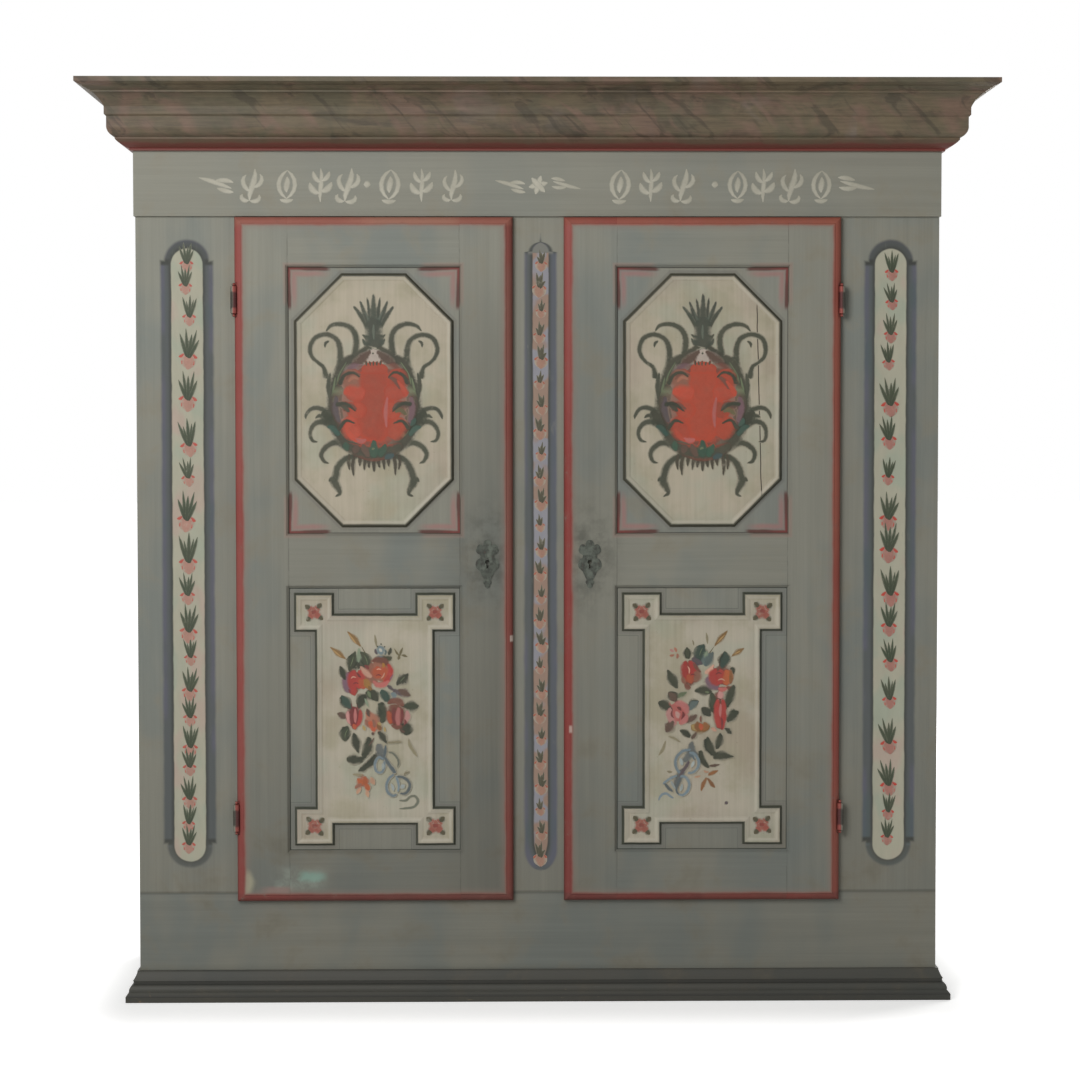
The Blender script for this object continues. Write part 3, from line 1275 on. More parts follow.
RIGHT_BOUQUET = strokes("""
leaf_dark
-32 144 14 -30 133 22 -28 121 14
leaf_teal
-6 147 24 -4 133 37 -10 117 24
slate
14 133 20 9 120 30.5 1 110 20
leaf_dark
45 134 16.5 43 120 27 39 108 19.5
slate_violet
-19 126 15.5 -12 116 23 -4 110 15.5
umber_red
-32 110 30.5 -24 90 48 -28 66 23
24 100 34 40 87 57 43 68 34
33 55 23 34 16 30.5 36 -23 19
leaf
20 52 12 20 32 17 21 12 12
leaf_dark
62 62 13 56 42 22 50 22 12
rose_pink
-58 32 34 -48 13 49.5 -45 -7 30.5
leaf_dark
-61 57 22 -60 48 32 -55 38 19.5
-89 33 14 -79 29 24 -69 23 17
-26 26 16.5 -17 32 22 -7 36 10
umber
-71 -23 14.5 -67 -15 26 -62 -9 16
ochre_dark
-22 -17 19 -4 -20 26.5 15 -17 19
leaf_dark
-42 -24 10 -33 -30 16.5 -23 -37 10
0 24 12 7 14 22 16 7 12
-7 58 16.5 7 57 22.5 17 55 14
58 7 16.5 64 11 23 73 13 10
-65 89 14 -59 79 25.5 -53 65 14
8 -40 14 12 -57 22.5 24 -76 12
39 -31 12 35 -46 19.5 30 -62 10
24 -75 14 41 -74 19 60 -78 7
-5 -65 12 1 -85 16.5 13 -99 10
ribbon_shade
-19 -52 15.5 -25 -72 21 -38 -88 15.5
-41 -104 13.5 -48 -124 21 -54 -140 15.5
wheat
52 180 4 38 164 14.5 25 148 4
wheat_light
47 172 1 38 163 3.5 30 154 1
wheat
86 144 4 73 136 14 60 127 4
wheat_light
79 139 1 72 135 3.5 65 131 1
stem
60 127 1 52 119 2.5 48 114 1
25 148 1 17 137 2.5 12 131 1
olive_pale
8 176 2.5 10 165 6 11 152 2.5
-20 161 2 -18 155 4 -17 149 2
mint
10 139 4 8 131 8.5 5 119 3.5
leaf_teal
5 152 8 -5 137 25.5 -7 117 13
leaf_light
1 145 1 -3 137 2.5 -6 128 1
slate
23 137 5.5 14 122 21 6 107 8
leaf_teal
46 138 7 48 122 23 38 103 13.5
slate_violet
-20 122 6 -10 118 13 1 111 6
leaf
-31 146 4.5 -30 135 12 -30 123 7.5
rust_pale
-57 146 3.5 -54 141 7.5 -52 135 3.5
-51 134 3.5 -50 128 8.5 -52 122 3.5
-67 129 3 -62 129 7.5 -56 131 3
pink_pale
-66 142 3 -62 139 7.5 -57 137 3
leaf
-71 101 6 -62 82 22.5 -50 61 7.5
rose_red
-33 119 8.5 -36 105 20 -33 91 22 -27 77 12
-27 119 8.5 -20 108 16.5 -19 94 20 -23 81 10
rose_orange
-30 91 10 -25 81 22 -22 71 10
clay
-16 97 8.5 -9 87 22 -16 75 10
-40 87 5.5 -38 78 12 -33 71 5.5
umber_red
-36 71 5.5 -30 64 13.5 -23 63 6.5
-19 114 3.5 -13 105 8.5 -2 94 5.5
salmon
-30 108 2 -26 100 4 -27 91 2
rose_deep
-25 88 1 -19 91 3.5 -13 88 1
salmon
24 111 4 17 101 11 5 92 10
violet
14 87 8.5 12 77 18.5 21 67 18.5 35 61 10
rose_red
30 102 8.5 21 91 20 25 78 23.5 37 71 15.5
38 102 10 38 88 23.5 37 71 15.5
orange_deep
49 101 12 52 85 25.5 47 68 15.5
ochre_brown
57 100 5.5 59 85 12 57 71 6.5
rose_pink
32 63 6.5 41 59 13 52 63 6.5
rose_deep
27 90 2 34 94 4 41 91 2
salmon
31 78 2 40 81 4 47 77 2
umber_red
49 65 4 54 63 8.5 59 65 4
leaf_dark
56 102 5 63 101 10.5 64 90 4.5
-16 57 7.5 3 58 24 20 54 7.5
leaf_light
5 55 3 11 54 6 15 54 3
leaf
66 69 10 57 48 22.5 48 23 7.5
20 53 7 22 38 16.5 22 19 8
pink_pale
35 57 8.5 37 48 18.5 37 40 15.5
rose_red
32 40 8.5 30 23 15.5 31 0 16.5 35 -20 10
42 40 8.5 44 23 13.5 44 0 14 41 -23 8.5
pink
38 31 4 37 17 8.5 37 3 4
rose_deep
38 3 3.5 41 -6 6.5 40 -23 3.5
umber
-69 54 7 -60 46 21 -53 36 10.5
leaf_light
-50 43 5.5 -42 49 13.5 -30 55 4
leaf_dark
-89 34 7.5 -77 28 25 -61 16 12
slate
-7 36 4.5 -18 29 19 -26 17 9
leaf_dark
1 22 7.5 8 16 18 17 5 8
umber
-9 8 6 -20 1 17 -33 -8 9
pink_pale
-64 23 8.5 -67 11 16.5 -62 -3 16.5 -53 -13 8.5
pink
-56 31 8.5 -44 31 15.5 -33 23 15.5 -30 10 8.5
-30 8 8.5 -36 -3 16 -46 -11 8.5
rose_deep
-52 24 4 -46 21 8.5 -43 16 4
pink_light
-54 16 6.5 -50 8 13.5 -49 0 6.5
rose_deep
-40 16 3 -38 7 7.5 -43 -2 3
-62 18 2 -62 8 6 -57 0 2
leaf_dark
75 15 6 61 5 22.5 50 -7 10.5
umber
-58 -3 7 -66 -18 22 -75 -27 9
cream_yellow
-22 -12 6.5 -16 -18 14 -13 -25 6.5
ochre_brown
-9 -5 8.5 -9 -15 18.5 -10 -25 10
4 -6 8.5 7 -15 18.5 1 -25 10
rose_orange
-5 -9 5.5 -2 -16 12 -2 -25 5.5
umber_red
-2 7 2.5 -3 0 6 -2 -8 3.5
umber
-27 -5 4 -23 -2 9 -15 5 4.5
salmon
18 -19 3.5 24 -22 10 30 -26 3.5
leaf_dark
-46 -23 5 -36 -29 13.5 -25 -39 4.5
umber
-22 -42 4.5 -16 -35 10.5 -11 -27 4.5
leaf_dark
45 -19 5 54 -25 13.5 60 -32 5
37 -29 5 35 -45 17 29 -62 5
11 -36 5 16 -57 19.5 28 -78 7.5
22 -80 10 42 -76 19.5 66 -78 4
-2 -65 8 0 -82 13 5 -93 10 15 -101 5
umber
14 -97 4 25 -96 8 37 -94 2.5
ribbon_shade
-19 -46 6.5 -23 -57 13.5 -16 -69 12 -7 -74 5.5
ribbon
-22 -63 6 -39 -66 8 -52 -79 8 -54 -94 8 -47 -109 7 -36 -111 5.5
-27 -69 6 -16 -72 8 -7 -86 8 -9 -100 8 -19 -110 7 -30 -111 5.5
ribbon_dark
-27 -74 4 -19 -77 6.5 -15 -86 3.5
slate_violet
-26 -86 5.5 -32 -97 9.5 -40 -109 10 -47 -119 6.5
ribbon_light
-44 -80 5.5 -42 -89 9 -40 -96 5.5
-16 -86 4 -19 -93 8 -22 -100 4
ribbon
-46 -117 6 -33 -120 8 -26 -133 8 -29 -147 8 -39 -156 7 -50 -154 4.5
ribbon_dark
-44 -119 5.5 -50 -133 6.5 -52 -147 6 -47 -156 4
ribbon_light
-40 -133 4 -42 -141 8 -44 -149 4
ribbon
-50 -116 4.5 -63 -121 7 -76 -130 6 -80 -134 3
ribbon_dark
-77 -131 5.5 -69 -141 9 -59 -150 5.5
ribbon_light
-64 -126 3.5 -60 -134 6.5 -54 -144 3.5
ribbon
-89 -168 4 -83 -157 7 -73 -153 7 -63 -160 6 -57 -163 3
ochre_brown
-2 -149 4 3 -134 11 10 -120 5.5
27 -142 4 20 -134 10.5 11 -121 5.5
34 -106 3.5 22 -111 10.5 12 -116 5.5
peach
-16 -120 3 -9 -119 5.5 -2 -117 3
15 -109 3 8 -109 6 3 -106 3
olive_pale
-89 -76 3 -80 -63 8.5 -74 -45 4
-69 -36 3 -57 -40 6.5 -44 -48 3
-72 -107 2.5 -66 -109 6.5 -60 -109 2.5
slate_violet
47 -170 5.5 50 -173 11 52 -176 5.5""")
MEDALLION_HALF = strokes("""
curl
39 85 18 35 122 16 44 144 14.5 65 154 12.5 86 151 10 97 139 4
68 62 20 68 103 15.5 77 124 13 98 133 12.5 119 126 12.5 128 107 12.5 125 89 10.5 113 76 9 101 66 10.5 95 43 17
89 121 5 97 115 8 98 106 3
90 -24 15.5 113 -15 12.5 128 -18 10.5 137 -29 9 138 -39 3
97 -37 11 109 -31 11 119 -36 4
83 -49 24 109 -43 14.5 124 -51 12.5 130 -66 10.5 125 -81 9 113 -84 3
41 -100 24 75 -86 16 95 -92 14.5 106 -108 12.5 101 -123 9.5 90 -127 3
32 -111 13 57 -117 15.5 72 -134 18 78 -152 19 80 -165 22 73 -179 16 70 -189 9.5 80 -195 4
78 -162 11 86 -160 12.5 92 -165 4
plume
3 109 14.5 10 142 14 24 168 12 41 191 6.5
2 111 14.5 7 148 12.5 18 176 11.5 28 201 5.5
1 113 14.5 5 155 14 13 208 5.5
5 104 9.5 17 115 10 23 126 4.5
curl
5 118 9 15 126 10 24 134 4
plume_light
3 129 4.5 9 158 6 18 181 3
curl
8 126 4 17 152 5.5 30 174 2.5
frame
1 116 7.5 18 104 13 37 91 17 54 74 20.5
41 90 16 62 74 22.5 73 51 25 81 22 29 84 -11 29.5 81 -43 31.5 68 -72 30 47 -94 29 18 -103 29 -2 -105 29
curl
88 57 5.5 92 28 12 89 2 5.5
leaf_light
77 48 3 82 22 7 83 -4 3
54 79 2.5 71 48 4.5 76 12 2.5
78 -20 2.5 75 -50 4.5 60 -74 2.5
leaf_dark
104 -21 16.5 89 -38 31.5 69 -60 19.5
frame_teal
96 -53 6 84 -56 15.5 70 -72 11
fringe
0 -108 9 0 -124 11.5 0 -144 5.5
10 -108 9 10 -123 11.5 11 -137 5.5
19 -108 9 19 -123 11 21 -141 4
28 -107 9 29 -121 11 30 -134 4
38 -108 8 43 -128 11.5 42 -153 4
49 -108 7 52 -124 9.5 50 -141 4""")
MEDALLION_MIDDLE = strokes("""
plume
0 216 6.5 0 178 16.5 0 126 21.5
0 168 28.5 0 139 37.5 0 107 36
plume_light
0 155 3.5 0 139 7.5 0 122 3.5
pale
-24 79 13 -11 91 17 0 104 6
24 79 13 11 91 17 0 104 6
-16 83 15.5 0 87 21 16 83 15.5
pink_pale
-24 81 3 -16 86 5.5 -9 89 2.5
24 79 3 17 84 5.5 11 89 2.5
curl
-1 97 5 -1 95 6 -1 93 4
umber
-6 101 10 -23 85 25 -41 70 28
6 101 10 23 85 25 41 70 28
mauve
-28 71 15.5 -45 64 23 -57 48 19
umber_red
28 71 15.5 45 64 23 57 48 19
0 74 138 0 -4 180 0 -98 138
red_field
0 66 103.5 0 -4 132 0 -89 107.5
0 66 67.5 0 -4 82 0 -82 64.5
clay
-47 64 38.5 -45 44 46 -42 18 42
red_field
44 64 36 49 44 43 47 15 39
red_bright
-62 17 19 -44 17 34 -18 12 34
70 12 19 50 17 34 21 12 34
-45 -33 34 -49 -53 42 -34 -76 42
red_field
49 -33 32 49 -53 41 34 -76 39
-37 -4 39 -34 -20 43 -32 -37 39
37 -4 36 36 -20 39 34 -37 39
-24 61 17.5 0 66 25 28 62 17.5
umber_red
-57 41 4.5 -44 55 10 -25 51 5.5
rust_pale
-53 37 4.5 -42 46 9.5 -29 42 4.5
umber_red
28 48 5.5 41 41 13 54 22 7.5
-62 -20 7.5 -49 -9 13 -33 -19 5.5
frame
-69 -8 10 -58 -15 13.5 -50 -24 7
umber
37 -20 6 50 -8 16 70 -13 14
olive
41 -24 7.5 54 -20 13.5 67 -30 9.5
slate_violet
-75 9 10 -77 -17 17.5 -69 -46 11
mauve
75 9 10 78 -17 17.5 71 -46 11
rose_pink
-41 -77 7.5 -26 -82 13.5 -15 -79 7.5
red_bright
47 41 6 60 22 11 67 9 6
-57 -56 4.5 -47 -72 11 -34 -84 5.5
rose_pink
28 9 5.5 23 -24 11 25 -56 5.5
leaf_dark
-70 31 13 -59 51 10 -42 56 7.5 -28 46 4
70 31 13 59 51 10 42 56 7.5 28 46 4
-78 -8 13 -57 -7 10 -36 -23 4
78 -8 13 57 -7 10 36 -23 4
-72 -60 12 -57 -41 9 -38 -47 4
72 -60 12 57 -41 9 38 -47 4
curl
-16 81 3 -15 76 5.5 -15 70 3
-9 79 3 -8 75 5.5 -7 70 3
-1 80 3 -1 75 5.5 -1 69 3
7 79 3 6 75 5.5 6 70 3
15 81 3 14 76 5.5 13 71 3
frame
-57 -90 17 -31 -103 25.5 0 -109 29 31 -103 25.5 57 -90 17
fan
-57 -82 9.5 -57 -92 17 -54 -103 9.5
0 -116 17 0 -100 29 0 -80 11
umber
-11 -115 12 -18 -100 20 -23 -87 8
fan
11 -115 11 18 -100 19 23 -87 7.5
umber
-41 -108 12 -37 -98 20 -32 -90 10
fan_blue
21 -118 9.5 31 -113 17 41 -110 9.5
frame_teal
73 -53 6 80 -43 13.5 84 -35 6
leaf_light
-5 -100 3.5 -2 -97 7.5 3 -98 3.5""")

# The sprigs of each side strip from the top down: height, size and place aside, in millimetres.
LEFT_CHAIN: tuple[Place, ...] = (
    (1509, 0.82, 0), (1464, 0.82, -2), (1401, 0.82, 5), (1322, 1.1, 3), (1236, 1.1, 2), (1142, 1.1, 2),
    (1075, 0.87, 0), (992, 1.1, -2), (906, 1.1, 0), (837, 0.92, -2), (764, 1.1, 1), (709, 0.82, 3),
    (642, 1, 2), (587, 0.87, 2), (526, 0.97, 2), (485, 0.82, 0), (420, 1, 0), (369, 0.82, -2),
    (326, 0.82, -2))
RIGHT_CHAIN: tuple[Place, ...] = (
    (1492, 0.82, 4), (1431, 0.82, 4), (1366, 0.82, 3), (1309, 0.82, -2), (1224, 1.1, 2), (1153, 1, 0),
    (1075, 0.82, -1), (992, 1.1, 0), (927, 1.1, 2), (837, 1.1, 4), (772, 1, 2), (699, 0.97, 5),
    (621, 0.92, 3), (532, 1.1, 2), (446, 1.1, 2), (389, 0.82, 2), (337, 0.82, 0))


@dataclass(frozen=True)
class Film:
    """One laid stroke: the places along it, half its width at each, its colour, and how deep it lies."""

    spots: list[Vector]
    halves: list[float]
    colour: Vector
    height: int
    middle: Vector
    reach: float

    def cover(self, place: Vector) -> float:
        """How fully the stroke covers a place, from 0 outside it to 1 well inside."""
        if (place - self.middle).length > self.reach:
            return 0.0
        inside = max(1.0 - (place - spot).length / half for spot, half in zip(self.spots, self.halves))
        return min(1.0, max(0.0, inside * 2.5))

    def meets(self, spots: list[Vector], middle: Vector, reach: float, half: float) -> bool:
        """Whether a stroke along these places would cross this one."""
        near = half + max(self.halves)
        return (middle - self.middle).length < reach + self.reach and any(
            (a - b).length < near for a in spots[::2] for b in self.spots[::2])


@dataclass
class Painter:
    """Lays brush strokes as thin films of paint on flat wood facing front, each over the ones it crosses.

    Each film stands one layer above those below it, with skin more along its middle and under its edges.
    """

    centre: Place
    seed: int
    shake: float = 0.0
    ground: Colour = Colour(170, 163, 144)
    layer: float = 0.06
    skin: float = 0.05
    laid: list[Film] = field(init=False, default_factory=list)

    def __post_init__(self) -> None:
        """Starts an empty film with its colour and brush layers."""
        self.mesh = bmesh.new()
        self.tint = self.mesh.verts.layers.float_color.new("tint")
        self.under = self.mesh.verts.layers.float_color.new("under")
        self.brush = self.mesh.verts.layers.float_vector.new("brush")
        self.luck = random.Random(self.seed)

    def place(self, spot: Vector, proud: float) -> Vector:
        """A point of the drawing, in millimetres from its middle, as a place on the cupboard in metres."""
        across, deep, up = self.centre
        return Vector(((across + spot.x) * MM, (deep - proud) * MM, (up + spot.y) * MM))

    @staticmethod
    def smooth_line(points: Outline, widths: Widths) -> list[tuple[Vector, float]]:
        """A smooth line through the points.

        Args:
            points: places across and up, in millimetres.
            widths: the brush's width at each point.

        Returns:
            Places along the line, each with the width there.
        """
        marks = [Vector(point) for point in points]
        line: list[tuple[Vector, float]] = []
        for index, (start, end) in enumerate(zip(marks, marks[1:])):
            before = marks[index - 1] if index else start * 2.0 - end
            after = marks[index + 2] if index + 2 < len(marks) else end * 2.0 - start
            steps = max(3, min(7, round((end - start).length / 3.0)))
            for step in range(steps):
                t = step / steps
                bend = (before * 2.0 - start * 5.0 + end * 4.0 - after) * t ** 2
                twist = (start * 3.0 - before - end * 3.0 + after) * t ** 3
                wide = widths[index] + (widths[index + 1] - widths[index]) * t * t * (3.0 - 2.0 * t)
                line.append(((start * 2.0 + (end - before) * t + bend + twist) * 0.5, wide))
        return line + [(marks[-1], widths[-1])]

    def seen(self, place: Vector) -> tuple[float, ...]:
        """The colour that shows at a place before the next stroke is laid."""
        colour = Vector(self.ground.linear())
        for film in self.laid:
            colour = colour.lerp(film.colour, film.cover(place))
        return tuple(colour)

    def ring(self, film: Film, index: int) -> list[bmesh.types.BMVert]:
        """The corners across a film at one of its places."""
        last = len(film.spots) - 1
        ahead = film.spots[min(index + 1, last)] - film.spots[max(index - 1, 0)]
        aside = Vector((-ahead.y, ahead.x)).normalized() if ahead.length else Vector((1.0, 0.0))
        sides = {side: film.spots[index] + aside * (side * film.halves[index]) for side in (-1.0, 0.0, 1.0)}
        seen = {side: self.seen(spot) for side, spot in sides.items()}
        top = film.height * self.layer
        profile = ((-1.0, -self.skin), (-1.0, top), (0.0, top + self.skin), (1.0, top), (1.0, -self.skin))
        corners = []
        for side, proud in profile:
            corner = self.mesh.verts.new(self.place(sides[side], proud))
            corner[self.tint] = tuple(film.colour)
            corner[self.under] = seen[side]
            corner[self.brush] = (0.0, abs(side) if 0 < index < last else 1.0, 0.0)
            corners.append(corner)
        return corners

    @staticmethod
    def half_widths(line: list[tuple[Vector, float]]) -> list[float]:
        """Half the width at each place of a line, rounded off towards its two ends."""
        steps = [0.0] + [(b - a).length for (a, _), (b, _) in zip(line, line[1:])]
        gone, total, halves = 0.0, sum(steps), []
        for step, (_, wide) in zip(steps, line):
            gone += step
            near_end = min(gone, total - gone) * 2.0 / wide + 0.12
            halves.append(wide * 0.5 * max(0.24, math.sqrt(1.0 - max(0.0, 1.0 - near_end) ** 2)))
        return halves

    def stroke(self, paint: Paint, points: Outline, widths: Widths) -> None:
        """Lays one stroke.

        Args:
            paint: its colour.
            points: the places that it passes, in millimetres from the middle of the sheet.
            widths: its width at each of them.
        """
        line = self.smooth_line(points, widths)
        spots, halves = [place for place, _ in line], self.half_widths(line)
        middle, half = spots[len(spots) // 2], max(halves)
        reach = max((spot - middle).length for spot in spots) + half
        below = [other.height for other in self.laid if other.meets(spots, middle, reach, half)]
        deep = max(below, default=0)
        colour = Vector(paint.value.scaled(self.luck.uniform(0.93, 1.07)).linear())
        film = Film(spots, halves, colour, deep + 1, middle, reach)
        rings = [self.ring(film, index) for index in range(len(spots))]
        for first, second in zip(rings, rings[1:]):
            for index, after in enumerate((1, 2, 3, 4, 0)):
                self.mesh.faces.new((first[index], first[after], second[after], second[index]))
        self.mesh.faces.new(rings[0][::-1])
        self.mesh.faces.new(rings[-1])
        self.laid.append(film)

    def lay_all(self, strokes: Strokes, sides: tuple[int, ...] = (1,)) -> None:
        """Lays a list of strokes, each moved a little as a hand would; side -1 is the mirror image."""
        for paint, points, widths in strokes:
            for side in sides:
                moved = tuple((x * side + self.waver(), y + self.waver()) for x, y in points)
                self.stroke(paint, moved, widths)

    def waver(self) -> float:
        """How far the hand strays, in millimetres."""
        return self.luck.uniform(-1, 1) * self.shake

    def piece(self, name: str) -> bpy.types.Object:
        """The films as one piece with its finish on it."""
        bmesh.ops.recalc_face_normals(self.mesh, faces=self.mesh.faces)
        mesh = bpy.data.meshes.new(name)
        self.mesh.to_mesh(mesh)
        self.mesh.free()
        mesh.materials.append(BrushPaint(name).material())
        return add_object(name, mesh)


def add_object(name: str, data: bpy.types.ID) -> bpy.types.Object:
    """Adds new data to the scene as an object."""
    made = bpy.data.objects.new(name, data)
    bpy.context.scene.collection.objects.link(made)
    return made


# ---------------------------------------------------------------- what repeats


@dataclass(frozen=True)
class Spot:
    """A place for one repeated shape: millimetres on the cupboard, which shape, its size and its lean."""

    place: Place
    kind: int = 0
    size: float = 1.0
    lean: float = 0.0


SPOT_LAYERS = (("kind", "INT"), ("size", "FLOAT"), ("lean", "FLOAT"))
FACING_FRONT = (math.pi / 2.0, 0.0, 0.0)
FACING_BACK = (-math.pi / 2.0, 0.0, 0.0)


class Recipe(Nodes):
    """A Geometry Nodes tree with named inputs, run once over a set of points."""

    def __init__(self, name: str, seed: int, ground: Colour = Colour(168, 164, 148)) -> None:
        """Starts a tree whose points come in as its geometry; ground is the colour that its shapes lie on."""
        super().__init__(bpy.data.node_groups.new(name, "GeometryNodeTree"))
        self.name = name
        self.seed = seed
        self.ground = ground
        self.tree.is_modifier = True
        for way in ("INPUT", "OUTPUT"):
            self.tree.interface.new_socket("Geometry", in_out=way, socket_type="NodeSocketGeometry")
        self.source = self.node("NodeGroupInput")
        self.values: dict[str, object] = {}

    def entry(self, name: str, kind: str, value: object) -> bpy.types.NodeSocket:
        """Adds a named input and gives its socket inside the tree."""
        self.tree.interface.new_socket(name, in_out="INPUT", socket_type=kind)
        self.values[name] = value
        return self.source.outputs[name]

    def number(self, name: str, value: float) -> bpy.types.NodeSocket:
        """A named size in millimetres or a plain factor."""
        return self.entry(name, "NodeSocketFloat", value)

    def math(self, operation: str, first: object, second: object) -> bpy.types.NodeSocket:
        """One step of arithmetic."""
        return self.node("ShaderNodeMath", {0: first, 1: second}, operation=operation).outputs[0]

    def mark(self, geometry: bpy.types.NodeSocket, name: str, value: object,
             kind: str) -> bpy.types.NodeSocket:
        """Stores an attribute on each point of a geometry."""
        inputs = {"Geometry": geometry, "Name": name, "Value": value}
        return self.node("GeometryNodeStoreNamedAttribute", inputs, data_type=kind, domain="POINT").outputs[0]

    def swell(self, held: bpy.types.NodeSocket, width: object, fat: float) -> bpy.types.NodeSocket:
        """Half a touch's width along it, which is greatest at fat and nothing at its ends."""
        rise = self.math("POWER", held, 1.3 * fat)
        fall = self.math("POWER", self.math("SUBTRACT", 1.0, held), 1.3 * (1.0 - fat))
        full = self.math("MULTIPLY", self.math("MULTIPLY", rise, fall), 1.56)
        return self.math("MULTIPLY", self.math("MULTIPLY", full, width), 0.5)

    def profile(self) -> bpy.types.NodeSocket:
        """The ring that is swept along a touch, marked with the place across the brush."""
        ring = self.node("GeometryNodeCurvePrimitiveCircle", {"Resolution": 6, "Radius": 1.0})
        place = self.node("GeometryNodeInputPosition").outputs[0]
        across = self.node("ShaderNodeSeparateXYZ", {0: place}).outputs[0]
        spread = self.node("ShaderNodeCombineXYZ", {1: across}).outputs[0]
        return self.mark(ring.outputs[0], "brush", spread, "FLOAT_VECTOR")

    def lick(self, route: Outline, width: object, root: Colour, tip: Colour, fat: float = 0.5, steps: int = 7,
             lift: float = 0.0, over: Colour | None = None) -> bpy.types.NodeSocket:
        """One touch of a full brush: a bent leaf shape that is thick in the middle and pointed at its ends.

        Args:
            route: start, two handles and end, in millimetres.
            width: its greatest width, a number or an input.
            root: its colour where it starts.
            tip: its colour where it ends.
            fat: how far along it is widest.
            steps: how many parts it has along its length.
            lift: how far it lies above the wood, in millimetres.
            over: the colour that its root lies on, where that isn't the ground.

        Returns:
            The socket with its geometry.
        """
        ends = dict(zip(("Start", "Start Handle", "End Handle", "End"), ((x, y, 0.0) for x, y in route)))
        line = self.node("GeometryNodeCurvePrimitiveBezierSegment", {"Resolution": 16, **ends}).outputs[0]
        even = self.node("GeometryNodeResampleCurve", {"Curve": line, "Count": steps}).outputs[0]
        along = self.node("GeometryNodeSplineParameter").outputs["Factor"]
        held = self.math("MINIMUM", self.math("MAXIMUM", along, 0.015), 0.985)
        reach = self.swell(held, width, fat)
        touch = self.node("GeometryNodeSetCurveRadius", {"Curve": even, "Radius": reach}).outputs[0]
        for name, first, last in (("tint", root, tip), ("under", over or self.ground, self.ground)):
            blend = self.node("ShaderNodeMix", {0: held, 6: first, 7: last}, data_type="RGBA")
            touch = self.mark(touch, name, blend.outputs[2], "FLOAT_COLOR")
        swept = self.node("GeometryNodeCurveToMesh",
                          {"Curve": touch, "Profile Curve": self.profile(), "Fill Caps": True})
        if "Scale" in swept.inputs:
            self.feed(self.node("GeometryNodeInputRadius").outputs[0], swept.inputs["Scale"])
        plain = self.node("GeometryNodeSetShadeSmooth", {"Geometry": swept.outputs[0], "Shade Smooth": False})
        flat = {"Geometry": plain.outputs[0], "Translation": (0.0, 0.0, lift), "Scale": (1.0, 1.0, 0.025)}
        return self.node("GeometryNodeTransform", flat).outputs[0]

    def gather(self, parts: list[bpy.types.NodeSocket]) -> bpy.types.NodeSocket:
        """Several geometries as one."""
        joined = self.node("GeometryNodeJoinGeometry")
        for part in reversed(parts):
            self.tree.links.new(part, joined.inputs[0])
        return joined.outputs[0]

    def scatter(self, kinds: list[bpy.types.NodeSocket], material: bpy.types.Material, turn: Place) -> None:
        """Sets one of several shapes on each point, and ends the tree.

        Args:
            kinds: the shapes; each point's attribute "kind" picks one.
            material: the finish.
            turn: the turn that lays a shape on its surface, before each point's own attribute "lean" about Y.
        """
        picks = [self.node("GeometryNodeGeometryToInstance", {"Geometry": kind}).outputs[0] for kind in kinds]
        named = "GeometryNodeInputNamedAttribute"
        kind, size, lean = (self.node(named, {"Name": name}, data_type=data).outputs[0]
                            for name, data in SPOT_LAYERS)
        chance = {2: -1.0, 3: 1.0, "Seed": self.entry("Seed", "NodeSocketInt", self.seed)}
        jitter = self.node("FunctionNodeRandomValue", chance, data_type="FLOAT").outputs[1]
        sway = self.math("ADD", self.math("MULTIPLY", jitter, self.number("Sway", 0.05)), lean)
        spin = self.node("ShaderNodeCombineXYZ", {0: turn[0], 1: self.math("ADD", sway, turn[1]), 2: turn[2]})
        uneven = self.math("ADD", self.math("MULTIPLY", jitter, 0.06), 1.0)
        scale = self.math("MULTIPLY", uneven, self.math("MULTIPLY", size, MM))
        placed = self.node("GeometryNodeInstanceOnPoints", {
            "Points": self.source.outputs["Geometry"], "Instance": self.gather(picks), "Pick Instance": True,
            "Instance Index": kind, "Rotation": spin.outputs[0], "Scale": scale})
        real = self.node("GeometryNodeRealizeInstances", {"Geometry": placed.outputs[0]})
        finish = self.entry("Finish", "NodeSocketMaterial", material)
        dressed = self.node("GeometryNodeSetMaterial", {"Geometry": real.outputs[0], "Material": finish})
        self.node("NodeGroupOutput", {0: dressed.outputs[0]})

    def run(self, spots: list[Spot]) -> bpy.types.Object:
        """Runs the tree over the spots and gives the result as a plain piece."""
        mesh = bpy.data.meshes.new(self.name + "_spots")
        mesh.from_pydata([tuple(value * MM for value in spot.place) for spot in spots], [], [])
        for name, data in SPOT_LAYERS:
            layer = mesh.attributes.new(name, data, "POINT")
            for index, spot in enumerate(spots):
                layer.data[index].value = getattr(spot, name)
        host = add_object(self.name + "_host", mesh)
        modifier = host.modifiers.new("recipe", "NODES")
        modifier.node_group = self.tree
        for item in self.tree.interface.items_tree:
            if item.in_out == "INPUT" and item.name in self.values:
                modifier[item.identifier] = self.values[item.name]
        graph = bpy.context.evaluated_depsgraph_get()
        made = bpy.data.meshes.new_from_object(host.evaluated_get(graph), depsgraph=graph)
        bpy.data.objects.remove(host)
        made.name = self.name
        return add_object(self.name, made)


# ---------------------------------------------------------------- the cupboard


def dress(node: str, material: bpy.types.Material) -> None:
    """Puts a finish on a part of the cupboard."""
    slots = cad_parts[node].data.materials
    slots.clear()
    slots.append(material)
    LOG.info("%s: finished in %s", node, material.name)


def keep(piece: bpy.types.Object, body: str) -> bpy.types.Object:
    """Sets a new piece to ride on a body, and reports it."""
    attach(piece, body)
    LOG.info("%s: %d faces, rides on %s", piece.name, len(piece.data.polygons), body)
    return piece


